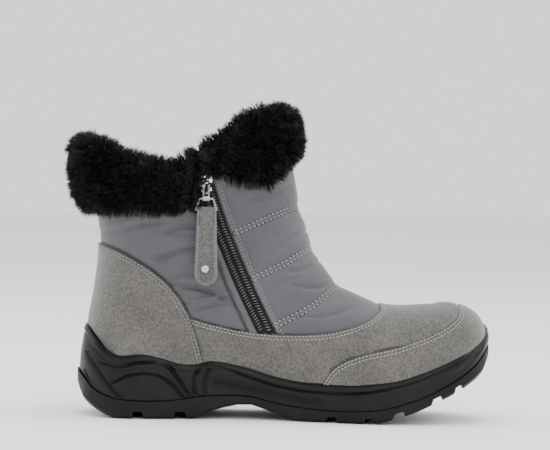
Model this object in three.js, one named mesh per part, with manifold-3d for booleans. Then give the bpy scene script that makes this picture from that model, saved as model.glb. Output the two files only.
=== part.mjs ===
// A woman's left snow boot, EU 38 to 39, as an assembly of separate solids, in millimetres.
// X runs forwards, Y to the wearer's left (the outer side of this boot), Z up
// from the floor. The inner side, at -Y, carries the zip. The tables count X from the back of the sole, and
// at the end everything is moved back by heelCentre, so that the origin is under the middle of the heel.
import * as THREE from "three";
import { mergeVertices } from "three/addons/utils/BufferGeometryUtils.js";
import Module from "manifold-3d";

const wasm = await Module();
wasm.setup();

// Driving dimensions.
const soleLength = 285;
const wall = 4; // quilted shell, wadding and pile lining together
const gap = 0.36; // between neighbouring pieces
const suede = 1.3; // thickness of the suede panels
const skin = suede + gap; // how far a panel's outer face stands from the shell
const footbed = 5; // insole thickness
const heelWidestX = 38;
const waistX = 108;
const ballX = 203;
const degree = Math.PI / 180;
const closeAngle = 108 * degree; // where a forefoot section ends at the sole, from its crest
const squareness = 0.9; // below 1 makes a section fuller than an ellipse
const seatCorner = 7; // power that keeps a section's pull towards the seat edge near the seat
const heelCentre = 50; // the origin's place on the X of the tables

// Plan outlines: half-widths at heel, waist and ball, and where the outline starts and ends.
const solePlan = { back: 0, tip: soleLength, heel: 38, waist: 35.5, ball: 50 };
const lastPlan = { back: 9.8, tip: 280, heel: 30.2, waist: 28.5, ball: 43.5 };

// The middle line of the foot in plan: out at the waist, in towards the big toe.
const middleLine = [
  { x: 0, y: 0 },
  { x: heelWidestX, y: 0 },
  { x: waistX, y: 3 },
  { x: 190, y: 0.5 },
  { x: 240, y: -4 },
  { x: soleLength, y: -10 },
];

// Heights along the sole: tread face, joint of outsole and midsole, seat of the foot, top of the rand.
const treadLine = [
  { x: 0, z: 22 },
  { x: 6, z: 12 },
  { x: 13, z: 7 },
  { x: 20, z: 3.4 },
  { x: 31, z: 0 },
  { x: 80, z: 0 },
  { x: 93, z: 5 },
  { x: 119, z: 10.5 },
  { x: 141, z: 4 },
  { x: 158, z: 0 },
  { x: 202, z: 0 },
  { x: 224, z: 5 },
  { x: 249, z: 15.5 },
  { x: 270, z: 27 },
  { x: 280, z: 35 },
  { x: 285, z: 45 },
];
const jointLine = [
  { x: 0, z: 32 },
  { x: 6, z: 27 },
  { x: 15, z: 18.5 },
  { x: 33, z: 13 },
  { x: 50, z: 12 },
  { x: 66, z: 12.5 },
  { x: 92, z: 16 },
  { x: 117, z: 16.5 },
  { x: 141, z: 11.5 },
  { x: 162, z: 9 },
  { x: 182, z: 8 },
  { x: 204, z: 9 },
  { x: 232, z: 16 },
  { x: 254, z: 26 },
  { x: 275, z: 40 },
  { x: 285, z: 53 },
];
// Grooves across the tread: the width at the ground and at the root. Those along it start from the middle.
const crossGrooves = [
  { x: 45, mouth: 8, root: 4 },
  { x: 74, mouth: 8.8, root: 4.8 },
  { x: 177, mouth: 7.2, root: 2.4 },
  { x: 203, mouth: 8.4, root: 3.6 },
  { x: 222.5, mouth: 7.6, root: 3.8 },
  { x: 248.5, mouth: 6.6, root: 3.4 },
  { x: 263, mouth: 5, root: 2.6 },
];
const centreGrooves = [
  { x: 56, half: 27 },
  { x: 210, half: 52 },
];
const centreSplits = [57, 190, 215, 240];
const seatLine = [
  { x: 0, z: 28 },
  { x: 48, z: 27 },
  { x: 85, z: 25 },
  { x: 120, z: 22 },
  { x: 150, z: 18 },
  { x: 178, z: 16 },
  { x: 204, z: 16 },
  { x: 225, z: 18.5 },
  { x: 243, z: 25 },
  { x: 260, z: 34 },
  { x: 280, z: 49 },
];
const randLine = [
  { x: 0, z: 62.5 },
  { x: 5.5, z: 61.5 },
  { x: 12.8, z: 54 },
  { x: 22.8, z: 44.4 },
  { x: 33, z: 41.3 },
  { x: 47.7, z: 42.8 },
  { x: 60, z: 41 },
  { x: 73, z: 36.9 },
  { x: 82, z: 36 },
  { x: 95, z: 38.4 },
  { x: 114, z: 35.4 },
  { x: 141, z: 28 },
  { x: 162, z: 25.2 },
  { x: 188, z: 25 },
  { x: 218, z: 28.2 },
  { x: 236, z: 33.6 },
  { x: 254, z: 41.5 },
  { x: 268, z: 49.6 },
  { x: 278, z: 57.5 },
  { x: 282, z: 64 },
  { x: 285, z: 67.5 },
];

// Sections of the shell, each a plane through a crest point (front) and a point on the seat or, from the
// heel up, on the back seam. full is the half-width it has over the last's plan there, and lean moves the
// crest towards the big toe.
const sections = [
  { frontX: 280, frontZ: 49, backX: 280, backZ: 49, full: 0, lean: 0 },
  { frontX: 281, frontZ: 58, backX: 277.5, backZ: 47, full: 0, lean: 1 },
  { frontX: 278, frontZ: 67.5, backX: 270.5, backZ: 41, full: 0, lean: 3 },
  { frontX: 271, frontZ: 75, backX: 260, backZ: 34, full: 0, lean: 4 },
  { frontX: 258, frontZ: 79, backX: 247, backZ: 27, full: 0, lean: 5 },
  { frontX: 240, frontZ: 78.2, backX: 230, backZ: 20, full: 0, lean: 5 },
  { frontX: 222, frontZ: 77, backX: 212, backZ: 16.7, full: 0, lean: 5 },
  { frontX: 204, frontZ: 79.5, backX: 190, backZ: 16, full: 0.4, lean: 5 },
  { frontX: 188, frontZ: 86, backX: 162, backZ: 17, full: 1.4, lean: 5 },
  { frontX: 174, frontZ: 96.5, backX: 130, backZ: 20.8, full: 4, lean: 4 },
  { frontX: 164.5, frontZ: 110, backX: 96, backZ: 24.2, full: 6.6, lean: 3 },
  { frontX: 157.5, frontZ: 126, backX: 60, backZ: 26.5, full: 6.2, lean: 2 },
  { frontX: 154.5, frontZ: 135, backX: 36, backZ: 27.4, full: 5.2, lean: 1 },
  { frontX: 153, frontZ: 140, backX: 19, backZ: 27.8, full: 5, lean: 1 },
  { frontX: 152, frontZ: 144, backX: 9.8, backZ: 28, full: 5.6, lean: 0 },
  { frontX: 150.5, frontZ: 150, backX: 8.2, backZ: 44, full: 5.5, lean: 0 },
  { frontX: 149, frontZ: 157, backX: 8.8, backZ: 64, full: 6.4, lean: 0 },
  { frontX: 147, frontZ: 167, backX: 13.6, backZ: 90, full: 8.2, lean: 0 },
  { frontX: 144.8, frontZ: 178, backX: 15.8, backZ: 116, full: 10.2, lean: 0 },
  { frontX: 142.5, frontZ: 190, backX: 13.6, backZ: 140, full: 12.2, lean: 0 },
  { frontX: 140, frontZ: 202, backX: 10, backZ: 162, full: 13.8, lean: 0 },
  { frontX: 137.5, frontZ: 214, backX: 7, backZ: 184, full: 15, lean: 0 },
  { frontX: 135, frontZ: 226, backX: 4, backZ: 206, full: 16, lean: 0 },
].map((row, s) => ({ ...row, s }));
const heelSection = 14;
const topSection = sections.length - 1;

// Panel edges and other lines drawn on the side of the boot, from back to front.
const counterEdge = [
  { x: -20, z: 118.5 },
  { x: 14, z: 117.5 },
  { x: 35, z: 111.5 },
  { x: 54, z: 101 },
  { x: 70.5, z: 85 },
  { x: 79, z: 70.5 },
  { x: 85, z: 48 },
  { x: 92, z: 15 },
];
const foxingEdge = [
  { x: 60, z: 77 },
  { x: 79, z: 71.5 },
  { x: 99, z: 66.5 },
  { x: 124, z: 62.7 },
  { x: 168, z: 63 },
  { x: 183, z: 65.2 },
  { x: 198, z: 69.5 },
  { x: 206, z: 75 },
  { x: 210, z: 84 },
];
const toeCapEdge = [
  { x: 168, z: 12 },
  { x: 171, z: 26 },
  { x: 177, z: 37.6 },
  { x: 188, z: 45.5 },
  { x: 211, z: 52.2 },
  { x: 232, z: 57 },
  { x: 250, z: 63.5 },
  { x: 261, z: 72.5 },
  { x: 266, z: 86 },
];
const shaftTop = [
  { x: -20, z: 181 },
  { x: 20, z: 177 },
  { x: 62, z: 163 },
  { x: 85, z: 170 },
  { x: 115, z: 190 },
  { x: 160, z: 202 },
];

// Fur cuff: its lower edge on the inner and outer side, its upper edge, and its thickness outwards.
const furEdge = [
  { x: 0, inner: 138, outer: 138, upper: 193, out: 19 },
  { x: 22, inner: 139, outer: 139, upper: 191, out: 15 },
  { x: 45, inner: 142, outer: 143, upper: 182, out: 13 },
  { x: 70, inner: 146, outer: 149, upper: 176, out: 12 },
  { x: 75, inner: 148, outer: 150.5, upper: 178, out: 12 },
  { x: 80.5, inner: 170, outer: 152.5, upper: 182, out: 11 },
  { x: 87, inner: 171, outer: 155, upper: 185, out: 11 },
  { x: 100, inner: 171, outer: 159, upper: 196, out: 12 },
  { x: 124, inner: 164, outer: 164, upper: 212, out: 13 },
  { x: 138, inner: 172, outer: 172, upper: 217, out: 14 },
  { x: 146, inner: 178, outer: 178, upper: 216, out: 15 },
];
const furInside = 9; // shell wall and the pile facing inside it

// Zip: its line down the inner side, and the sizes of its pieces.
const zipLine = [
  { x: 88.8, z: 161 },
  { x: 99, z: 132 },
  { x: 113.5, z: 98 },
  { x: 130, z: 63.8 },
];
const zipWidth = 11.5;
const zipProud = 1.9; // the chain's face above the shell
const zipDeep = 2.2; // the chain's back below it
const sliderAt = { x: 89.4, z: 160 };
const slider = { top: 9.8, bottom: 7.6, length: 13, thick: 3 };
const bridge = { width: 2.4, span: 8, rise: 3.7, thick: 1.2 };
const wire = 0.8; // radius of the link's top bar and of the ring
const link = { barAbove: 1.3, drop: 9, half: 2.4, side: 1.2, thick: 1.5, knuckle: 2, bore: 0.95 };
const ring = { topHalf: 4.7, bottomHalf: 7, drop: 7.5 };
const pullTab = { topHalf: 6.3, bottomHalf: 7.3, length: 51, thick: 2.2, fold: 2.1 };
const rivet = { radius: 2.6, dome: 1.5, shank: 1.2, below: 40 };
const partingWidth = 1.4; // where the fur cuff opens above the zip

// Value of column `out` at `at` on the smooth curve through a table's rows, with no overshoot between them.
function follow(rows, by, out, at) {
  const last = rows.length - 1;
  const value = THREE.MathUtils.clamp(at, rows[0][by], rows[last][by]);
  let i = 0;
  while (i < last - 1 && value > rows[i + 1][by]) i += 1;
  const span = (k) => rows[k + 1][by] - rows[k][by];
  const slope = (k) => (rows[k + 1][out] - rows[k][out]) / span(k);
  const tangent = (k) => {
    if (k === 0) return slope(0);
    if (k === last) return slope(last - 1);
    const before = slope(k - 1);
    const after = slope(k);
    return before * after <= 0 ? 0 : (2 * before * after) / (before + after);
  };
  const t = (value - rows[i][by]) / span(i);
  const rise = rows[i + 1][out] - rows[i][out];
  const bend = span(i) * (tangent(i) * (1 - t) ** 2 * t - tangent(i + 1) * t * t * (1 - t));
  return rows[i][out] + rise * t * t * (3 - 2 * t) + bend;
}

const heightOn = (rows) => (x) => follow(rows, "x", "z", x);
const tread = heightOn(treadLine);
const joint = heightOn(jointLine);
const seat = heightOn(seatLine);
const rand = heightOn(randLine);
const middle = (x) => follow(middleLine, "x", "y", x);

// Half-width of a plan outline: a round heel, a table over waist and ball, and a blunt toe.
function planHalf(plan, x) {
  const widths = [
    { x: heelWidestX, half: plan.heel },
    { x: waistX, half: plan.waist },
    { x: ballX, half: plan.ball },
  ];
  const half = follow(widths, "x", "half", x);
  const heelShare = Math.max(0, heelWidestX - x) / (heelWidestX - plan.back);
  const toeShare = Math.max(0, x - ballX) / (plan.tip - ballX);
  const heelRound = Math.sqrt(Math.max(0, 1 - heelShare ** 2));
  const toeRound = Math.sqrt(Math.max(0, 1 - toeShare ** 2.5));
  return half * heelRound * toeRound;
}

const inset = (plan, by, atBack = by) => ({
  back: plan.back + atBack,
  tip: plan.tip - by,
  heel: plan.heel - by,
  waist: plan.waist - by,
  ball: plan.ball - by,
});

// One point of the shell's outer face. s counts sections from the toe tip to the collar, and turn goes
// from -1 on the inner side over 0 at the crest to 1 on the outer side.
function shellPoint(s, turn) {
  const at = (column) => follow(sections, "s", column, s);
  const backX = at("backX");
  const wrap = closeAngle + (Math.PI - closeAngle) * THREE.MathUtils.smoothstep(s, 6.5, heelSection);
  const lip = Math.sin(closeAngle) ** squareness;
  const width = planHalf(lastPlan, Math.max(backX, heelWidestX)) / lip + at("full");
  const angle = Math.abs(turn) * wrap;
  const reach = (1 - Math.cos(angle)) / (1 - Math.cos(wrap));
  const edge = width * Math.abs(Math.sin(wrap)) ** squareness;
  const pull = s < heelSection ? planHalf(lastPlan, backX) - edge : 0;
  const side = width * Math.abs(Math.sin(angle)) ** squareness + pull * reach ** seatCorner;
  const x = at("frontX") + (backX - at("frontX")) * reach;
  const z = at("frontZ") + (at("backZ") - at("frontZ")) * reach;
  const crest = (at("lean") * (1 + Math.cos(angle))) / 2;
  return new THREE.Vector3(x, middle(x) - crest + Math.sign(turn) * side, z);
}

// The outward direction there, level along the seat so that every layer ends on one edge. It looks towards
// the collar, because the sections crowd together at the back of the seat.
function shellNormal(s, turn) {
  if (s <= 0) return new THREE.Vector3(1, 0, 0);
  const [stepS, stepTurn] = [0.4, 0.02];
  const nearer = shellPoint(Math.min(s, topSection - stepS), turn);
  const alongS = shellPoint(Math.min(s + stepS, topSection), turn).sub(nearer);
  const before = shellPoint(s, Math.max(turn - stepTurn, -1));
  const alongTurn = shellPoint(s, Math.min(turn + stepTurn, 1)).sub(before);
  const normal = new THREE.Vector3().crossVectors(alongTurn, alongS).normalize();
  if (Math.abs(turn) === 1 && s >= heelSection) normal.y = 0;
  normal.z *= 1 - Math.abs(turn) ** 5 * THREE.MathUtils.clamp(heelSection + 1 - s, 0, 1);
  return normal.normalize();
}

const onShell = (s, turn, offset) => shellPoint(s, turn).addScaledVector(shellNormal(s, turn), offset);

// A solid from vertices and triangles, and a geometry from a solid.
function solidFrom(points, triangles) {
  const vertProperties = new Float32Array(points.flatMap((p) => [p.x, p.y, p.z]));
  const triVerts = new Uint32Array(triangles.filter(([a, b, c]) => a !== b && b !== c && c !== a).flat());
  return new wasm.Manifold(new wasm.Mesh({ numProp: 3, vertProperties, triVerts }));
}

function solidOf(geometry) {
  const plain = geometry.index ? geometry.toNonIndexed() : geometry.clone();
  plain.deleteAttribute("normal");
  plain.deleteAttribute("uv");
  const merged = mergeVertices(plain, 1e-3);
  const vertProperties = merged.attributes.position.array;
  const triVerts = new Uint32Array(merged.index.array);
  return new wasm.Manifold(new wasm.Mesh({ numProp: 3, vertProperties, triVerts }));
}

function geometryOf(solid) {
  const mesh = solid.getMesh();
  const geometry = new THREE.BufferGeometry();
  geometry.setAttribute("position", new THREE.BufferAttribute(new Float32Array(mesh.vertProperties), 3));
  geometry.setIndex(new THREE.BufferAttribute(new Uint32Array(mesh.triVerts), 1));
  return geometry;
}

const quad = (a, b, c, d) => [[a, b, c], [a, c, d]];

// Sections that the solids pass through: every row of the table, and the rows between on long stretches.
const footSteps = [0, 0.5, 1, 1.5, 2, 3, 4, 5, 6, 7, 8, 8.5, 9, 9.5, 10, 10.5, 11, 11.5, 12, 12.5, 13];
const heelSteps = [13.4, 13.7, 13.9];
const shaftSteps = [14, 15, 16, 17, 18, 19, 20, 21, 22];
const sectionSteps = [...footSteps, ...heelSteps];
const allSteps = [...sectionSteps, ...shaftSteps];

// The filled form of the shell, its face `offset` outside the shell's own. skirt carries the seat edge
// straight down and rise carries the collar up, so that a smaller form can cut right through.
function filledForm(offset, { skirt = 0, rise = 0, steps = allSteps, around = 24 } = {}) {
  const points = [];
  const add = (point) => points.push(point) - 1;
  const turns = Array.from({ length: around + 1 }, (_, j) => -1 + (2 * j) / around);
  const rows = steps.map((s) => {
    if (s === 0) return new Array(around + 1).fill(add(onShell(0, 0, offset)));
    const row = turns.map((turn) => add(onShell(s, turn, offset)));
    if (s >= heelSection) row[around] = row[0];
    return row;
  });
  if (rise > 0) {
    const top = rows[rows.length - 1];
    const raised = top.slice(0, -1).map((k) => add(points[k].clone().add(new THREE.Vector3(0, 0, rise))));
    rows.push([...raised, raised[0]]);
  }
  const openRows = rows.filter((_, i) => i < steps.length && steps[i] <= heelSection);
  const edge = openRows.map((row) => [row[0], row[around]]);
  const foot = edge.map(([inner, outer]) => {
    if (skirt === 0) return [inner, outer];
    const lowered = (k) => add(points[k].clone().add(new THREE.Vector3(0, 0, -skirt)));
    const low = lowered(inner);
    return [low, inner === outer ? low : lowered(outer)];
  });
  const triangles = [];
  for (let i = 1; i < rows.length; i += 1)
    for (let j = 0; j < around; j += 1) {
      const [a, b, c, d] = [rows[i - 1][j], rows[i - 1][j + 1], rows[i][j + 1], rows[i][j]];
      triangles.push(...(j < around / 2 ? quad(b, c, d, a) : quad(a, b, c, d)));
    }
  for (let i = 1; i < foot.length; i += 1) {
    triangles.push(...quad(foot[i - 1][1], foot[i - 1][0], foot[i][0], foot[i][1]));
    if (skirt > 0) {
      triangles.push(...quad(foot[i - 1][0], edge[i - 1][0], edge[i][0], foot[i][0]));
      triangles.push(...quad(edge[i - 1][1], foot[i - 1][1], foot[i][1], edge[i][1]));
    }
  }
  const lid = rows[rows.length - 1];
  for (let j = 0; j < around / 2; j += 1)
    triangles.push(...quad(lid[j], lid[j + 1], lid[around - j - 1], lid[around - j]));
  return solidFrom(points, triangles);
}

// A solid stacked from plan outlines, lowest first. Each level has a plan and a height over x.
function planStack(levels, perSide = 44) {
  const points = [];
  const rings = levels.map(({ plan, z }) => {
    const ring = [];
    for (let k = 0; k < 2 * perSide; k += 1) {
      const u = k <= perSide ? k / perSide : 2 - k / perSide;
      const x = plan.back + ((plan.tip - plan.back) * (1 - Math.cos(Math.PI * u))) / 2;
      const side = k <= perSide ? -1 : 1;
      ring.push(points.push(new THREE.Vector3(x, middle(x) + side * planHalf(plan, x), z(x))) - 1);
    }
    return ring;
  });
  const count = 2 * perSide;
  const triangles = [];
  for (let i = 1; i < rings.length; i += 1)
    for (let k = 0; k < count; k += 1) {
      const next = (k + 1) % count;
      triangles.push(...quad(rings[i - 1][k], rings[i - 1][next], rings[i][next], rings[i][k]));
    }
  const bottom = rings[0];
  const top = rings[rings.length - 1];
  for (let k = 0; k < perSide; k += 1) {
    const across = (count - k) % count;
    triangles.push(...quad(bottom[k], bottom[across], bottom[count - k - 1], bottom[k + 1]));
    triangles.push(...quad(top[k], top[k + 1], top[count - k - 1], top[across]));
  }
  return solidFrom(points, triangles);
}

// A cutter drawn on the side of the boot (x, z) and running across it from one y to another.
function sideCutter(outline, { from = -80, to = 80 } = {}) {
  const shape = new THREE.Shape(outline.map(({ x, z }) => new THREE.Vector2(x, z)));
  const geometry = new THREE.ExtrudeGeometry(shape, { depth: to - from, bevelEnabled: false, steps: 1 });
  geometry.rotateX(Math.PI / 2).translate(0, to, 0);
  return solidOf(geometry);
}

// Points evenly spaced along the smooth curve through a line's points.
function smoothLine(line, count) {
  const points = line.map(({ x, z }) => new THREE.Vector3(x, 0, z));
  const curve = new THREE.CatmullRomCurve3(points, false, "centripetal");
  return curve.getSpacedPoints(count).map((p) => ({ x: p.x, z: p.z }));
}

const shifted = (line, dx, dz = 0) => line.map(({ x, z }) => ({ x: x + dx, z: z + dz }));

// Outsole: a slab between tread and joint, with grooves that leave the lugs.
function makeOutsole() {
  const slab = planStack([
    { plan: inset(solePlan, 2.2), z: tread },
    { plan: solePlan, z: (x) => tread(x) + Math.min(2.2, 0.4 * (joint(x) - tread(x))) },
    { plan: solePlan, z: (x) => joint(x) - gap },
  ]);
  const wide = inset(solePlan, -8);
  const depth = (x) => (x < 120 ? 4.8 : 3.8);
  const grooveZone = planStack([
    { plan: wide, z: (x) => tread(x) - 9 },
    { plan: wide, z: (x) => tread(x) + depth(x) },
  ]);
  const across = crossGrooves.map(({ x, mouth, root }) => {
    const spread = (mouth - root) / 2 / depth(x);
    const halfAt = (z) => root / 2 + spread * (depth(x) - z);
    const corners = [-4, depth(x)].map((z) => ({ z: tread(x) + z, half: halfAt(z) }));
    const [low, high] = corners;
    return sideCutter([
      { x: x - low.half, z: low.z },
      { x: x + low.half, z: low.z },
      { x: x + high.half, z: high.z + 3 },
      { x: x - high.half, z: high.z + 3 },
    ]);
  });
  const slot = (x, y, length, width) =>
    solidOf(new THREE.BoxGeometry(length, width, 120).translate(x, middle(x) + y, 0));
  const along = centreGrooves.flatMap(({ x, half }) => [-1, 1].map((side) => slot(x, side * 13, 2 * half, 3.4)));
  const splits = centreSplits.map((x) => slot(x, 0, 4, 30));
  const grooves = [...across, ...along, ...splits].reduce((all, one) => all.add(one)).intersect(grooveZone);
  return slab.subtract(grooves);
}

// Midsole: a cup whose wall follows the rand line and whose hollow is the covered shell's own form.
function makeMidsole(shellCut) {
  const part = (share) => (x) => joint(x) + (rand(x) - joint(x)) * share;
  const cup = planStack([
    { plan: inset(solePlan, 0.6), z: joint },
    { plan: inset(solePlan, 0.4, 2.4), z: part(0.35) },
    { plan: inset(solePlan, 1, 2.8), z: part(0.7) },
    { plan: inset(solePlan, 2.2, 4.8), z: part(1) },
  ]);
  return cup.subtract(shellCut);
}

// Insole: a slab on the seat, trimmed by the shell's inside.
function makeInsole() {
  const plan = inset(lastPlan, wall + gap);
  const slab = planStack([
    { plan, z: (x) => seat(x) + gap },
    { plan, z: (x) => seat(x) + footbed },
  ]);
  return slab.intersect(filledForm(-wall - 2 * gap, { skirt: 9 }));
}

// The areas of the side view on each side of a line, out to a frame well clear of the boot.
const side = { back: -90, front: 420, top: 400, bottom: -60 };
const { back, front } = side;
const end = (line) => line[line.length - 1];
const shutTo = (line, z) => [
  { x: front, z: end(line).z },
  { x: front, z },
  { x: back, z },
  { x: back, z: line[0].z },
];
const above = (line) => [...line, ...shutTo(line, side.top)];
const below = (line) => [...line, ...shutTo(line, side.bottom)];
const behind = (line) => [...line, { x: back, z: end(line).z }, { x: back, z: line[0].z }];
const ahead = (line) => [
  ...line,
  { x: end(line).x, z: side.top },
  { x: front, z: side.top },
  { x: front, z: line[0].z },
];

// A band along the zip in the side view, widened by `extra` all round.
function zipBand(extra) {
  const line = smoothLine(zipLine, 12);
  const half = zipWidth / 2 + extra;
  const edge = (sign) =>
    line.map((p, i) => {
      const before = line[Math.max(i - 1, 0)];
      const after = line[Math.min(i + 1, line.length - 1)];
      const along = new THREE.Vector2(after.x - before.x, after.z - before.z).normalize();
      const past = i === 0 ? -extra : i === line.length - 1 ? extra : 0;
      const across = sign * half;
      return { x: p.x - across * along.y + past * along.x, z: p.z + across * along.x + past * along.y };
    });
  return sideCutter([...edge(-1), ...edge(1).reverse()], { to: 0 });
}

// Upper: the shell between two forms, cut to the saddle line of the collar, with a bed for the zip.
function makeUpper() {
  const hollow = filledForm(-wall, { skirt: 9, rise: 12 });
  const bed = filledForm(8).subtract(filledForm(-zipDeep - gap)).intersect(zipBand(gap));
  return filledForm(0).subtract(hollow).subtract(sideCutter(above(smoothLine(shaftTop, 16)))).subtract(bed);
}

// Zip chain: the closed zip as one strip that follows the shell, ending just above the foxing.
function makeZipChain() {
  const strip = filledForm(zipProud).subtract(filledForm(-zipDeep)).intersect(zipBand(0));
  return strip.subtract(sideCutter(below(shifted(foxingLine, 0, gap))));
}

const panelTop = [
  { x: back, z: 121 },
  { x: 60, z: 121 },
  { x: 90, z: 92 },
  { x: front, z: 92 },
];
const counterLine = smoothLine(counterEdge, 20);
const toeCapLine = smoothLine(toeCapEdge, 18);
const foxingLine = smoothLine(foxingEdge, 18);

// Suede panels: one layer between two forms, parted along the panel edges.
function makePanels() {
  const steps = sectionSteps.concat(shaftSteps.slice(0, 6));
  const inner = filledForm(gap, { skirt: 9, rise: 12, steps });
  const layer = filledForm(skin, { steps }).subtract(inner).intersect(sideCutter(below(panelTop)));
  const counterZone = sideCutter(behind(counterLine));
  const capZone = sideCutter(ahead(toeCapLine));
  const foxingZone = sideCutter(below(foxingLine))
    .subtract(sideCutter(behind(shifted(counterLine, gap))))
    .subtract(sideCutter(ahead(shifted(toeCapLine, -gap))));
  return {
    counter: layer.intersect(counterZone),
    foxing: layer.intersect(foxingZone),
    cap: layer.intersect(capZone),
  };
}

// The section at which the shell, at this turn, passes through a height.
function sectionAtHeight(turn, height) {
  let low = heelSection - 1;
  let high = topSection;
  for (let k = 0; k < 30; k += 1) {
    const mid = (low + high) / 2;
    if (shellPoint(mid, turn).z < height) low = mid;
    else high = mid;
  }
  return (low + high) / 2;
}

// Fur cuff: a fat ring round the shaft's top, with a slot from below that the shell stands in.
function makeFurCollar(shellSlot) {
  const around = 44;
  const ribs = 9;
  const points = [];
  for (let k = 0; k < around; k += 1) {
    const turn = -1 + (2 * k) / around;
    const x = shellPoint(sectionAtHeight(turn, 172), turn).x;
    const lower = follow(furEdge, "x", turn < 0 ? "inner" : "outer", x);
    const upper = follow(furEdge, "x", "upper", x);
    const out = follow(furEdge, "x", "out", x);
    for (let r = 0; r < ribs; r += 1) {
      const angle = (2 * Math.PI * r) / ribs;
      const share = (1 - Math.sign(Math.cos(angle)) * Math.abs(Math.cos(angle)) ** 0.8) / 2;
      const s = sectionAtHeight(turn, lower + (upper - lower) * share);
      const offset = (out - furInside) / 2 + ((out + furInside) / 2) * Math.sin(angle);
      points.push(onShell(s, turn, offset));
    }
  }
  const triangles = [];
  for (let k = 0; k < around; k += 1)
    for (let r = 0; r < ribs; r += 1) {
      const nextK = (k + 1) % around;
      const nextR = (r + 1) % ribs;
      triangles.push(...quad(k * ribs + r, nextK * ribs + r, nextK * ribs + nextR, k * ribs + nextR));
    }
  const parting = new THREE.BoxGeometry(partingWidth, 60, 90);
  parting.rotateY(12 * degree).translate(78.5, -50, 165);
  return solidFrom(points, triangles).subtract(shellSlot).subtract(solidOf(parting));
}

// The shell's section and turn under a point of the side view, on the inner side.
function underSide(x, z) {
  let front = -0.05;
  let back = -0.95;
  for (let k = 0; k < 30; k += 1) {
    const mid = (front + back) / 2;
    if (shellPoint(sectionAtHeight(mid, z), mid).x > x) front = mid;
    else back = mid;
  }
  return { s: sectionAtHeight(front, z), turn: front };
}

function bar(radius, length, sides = 16) {
  return new THREE.CylinderGeometry(radius, radius, length, sides).rotateZ(Math.PI / 2);
}

const box = (width, height, depth, x, y, z) => new THREE.BoxGeometry(width, height, depth).translate(x, y, z);
const join = (geometries) => geometries.map(solidOf).reduce((all, one) => all.add(one));

// A plate from an outline in (x, up), its faces at `low` and `high` outwards.
function plate(outline, low, high) {
  const shape = new THREE.Shape(outline.map(([x, y]) => new THREE.Vector2(x, y)));
  const depth = high - low;
  return new THREE.ExtrudeGeometry(shape, { depth, bevelEnabled: false }).translate(0, 0, low);
}

// Slider body, in the frame of the shell under it: x across the zip, y up along it, z outwards.
function makeSliderBody(frame) {
  const { top, bottom, length, thick } = slider;
  const outline = [
    [-bottom / 2, -length / 2 + 1.5],
    [-bottom / 2 + 1.5, -length / 2],
    [bottom / 2 - 1.5, -length / 2],
    [bottom / 2, -length / 2 + 1.5],
    [top / 2, 0],
    [top / 2, length / 2 - 2],
    [top / 2 - 2, length / 2],
    [-top / 2 + 2, length / 2],
    [-top / 2, length / 2 - 2],
    [-top / 2, 0],
  ];
  return solidOf(plate(outline, 0, thick).applyMatrix4(frame));
}

// The rest of the pull hangs plumb: x forwards, y up, z outwards, with the link's axis as origin.
function makeBridge() {
  const { width, span, rise, thick } = bridge;
  const face = -link.barAbove;
  const post = rise + 2;
  return join([
    box(width, span, thick, 0, 0, face + rise - thick / 2),
    box(width, thick, post, 0, (span - thick) / 2, face + rise - post / 2),
    box(width, thick, post, 0, (thick - span) / 2, face + rise - post / 2),
  ]);
}

function makeLink() {
  const { drop, half, side, thick, knuckle, bore } = link;
  const solid = join([
    bar(wire, 2 * half),
    box(side, drop, thick, half - side / 2, -drop / 2, 0),
    box(side, drop, thick, side / 2 - half, -drop / 2, 0),
    bar(knuckle, 2 * half).translate(0, -drop, 0),
  ]);
  return solid.subtract(solidOf(bar(bore, 4 * half).translate(0, -drop, 0)));
}

// The wire ring, its corners rounded by balls; y counts down from its top bar.
function makeRing(radius) {
  const corners = [
    [-ring.topHalf, 0],
    [ring.topHalf, 0],
    [ring.bottomHalf, -ring.drop],
    [-ring.bottomHalf, -ring.drop],
  ];
  return join(
    corners.flatMap(([x, y], i) => {
      const [nextX, nextY] = corners[(i + 1) % corners.length];
      const length = Math.hypot(nextX - x, nextY - y);
      const rod = bar(radius, length, 10).rotateZ(Math.atan2(nextY - y, nextX - x));
      const ball = new THREE.SphereGeometry(radius, 8, 6).rotateY(0.1).translate(x, y, 0);
      return [rod.translate((x + nextX) / 2, (y + nextY) / 2, 0), ball];
    }),
  );
}

function makeTab() {
  const { topHalf, bottomHalf, length, thick, fold } = pullTab;
  const roundEnd = Array.from({ length: 9 }, (_, i) => {
    const angle = (-180 + 22.5 * i) * degree;
    return [bottomHalf * Math.cos(angle), -length + bottomHalf + bottomHalf * Math.sin(angle)];
  });
  const outline = [...roundEnd, [topHalf, 0], [-topHalf, 0]];
  const solid = join([plate(outline, -thick / 2, thick / 2), bar(fold, 2 * topHalf)]);
  const hole = new THREE.CylinderGeometry(rivet.shank + gap, rivet.shank + gap, 9, 16);
  hole.rotateX(Math.PI / 2).translate(0, -rivet.below, 0);
  return solid.subtract(makeRing(wire + gap).translate([0, ring.drop, 0])).subtract(solidOf(hole));
}

function makeRivet() {
  const { radius, dome, shank, below } = rivet;
  const face = pullTab.thick / 2 + gap / 2;
  const profile = [
    new THREE.Vector2(0, -pullTab.thick / 2),
    new THREE.Vector2(shank, -pullTab.thick / 2),
    new THREE.Vector2(shank, face),
    ...[0, 20, 40, 60, 80].map((rise) => {
      const angle = rise * degree;
      return new THREE.Vector2(radius * Math.cos(angle), face + dome * Math.sin(angle));
    }),
    new THREE.Vector2(0, face + dome),
  ];
  return solidOf(new THREE.LatheGeometry(profile, 20).rotateX(Math.PI / 2).translate(0, -below, 0));
}

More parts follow.
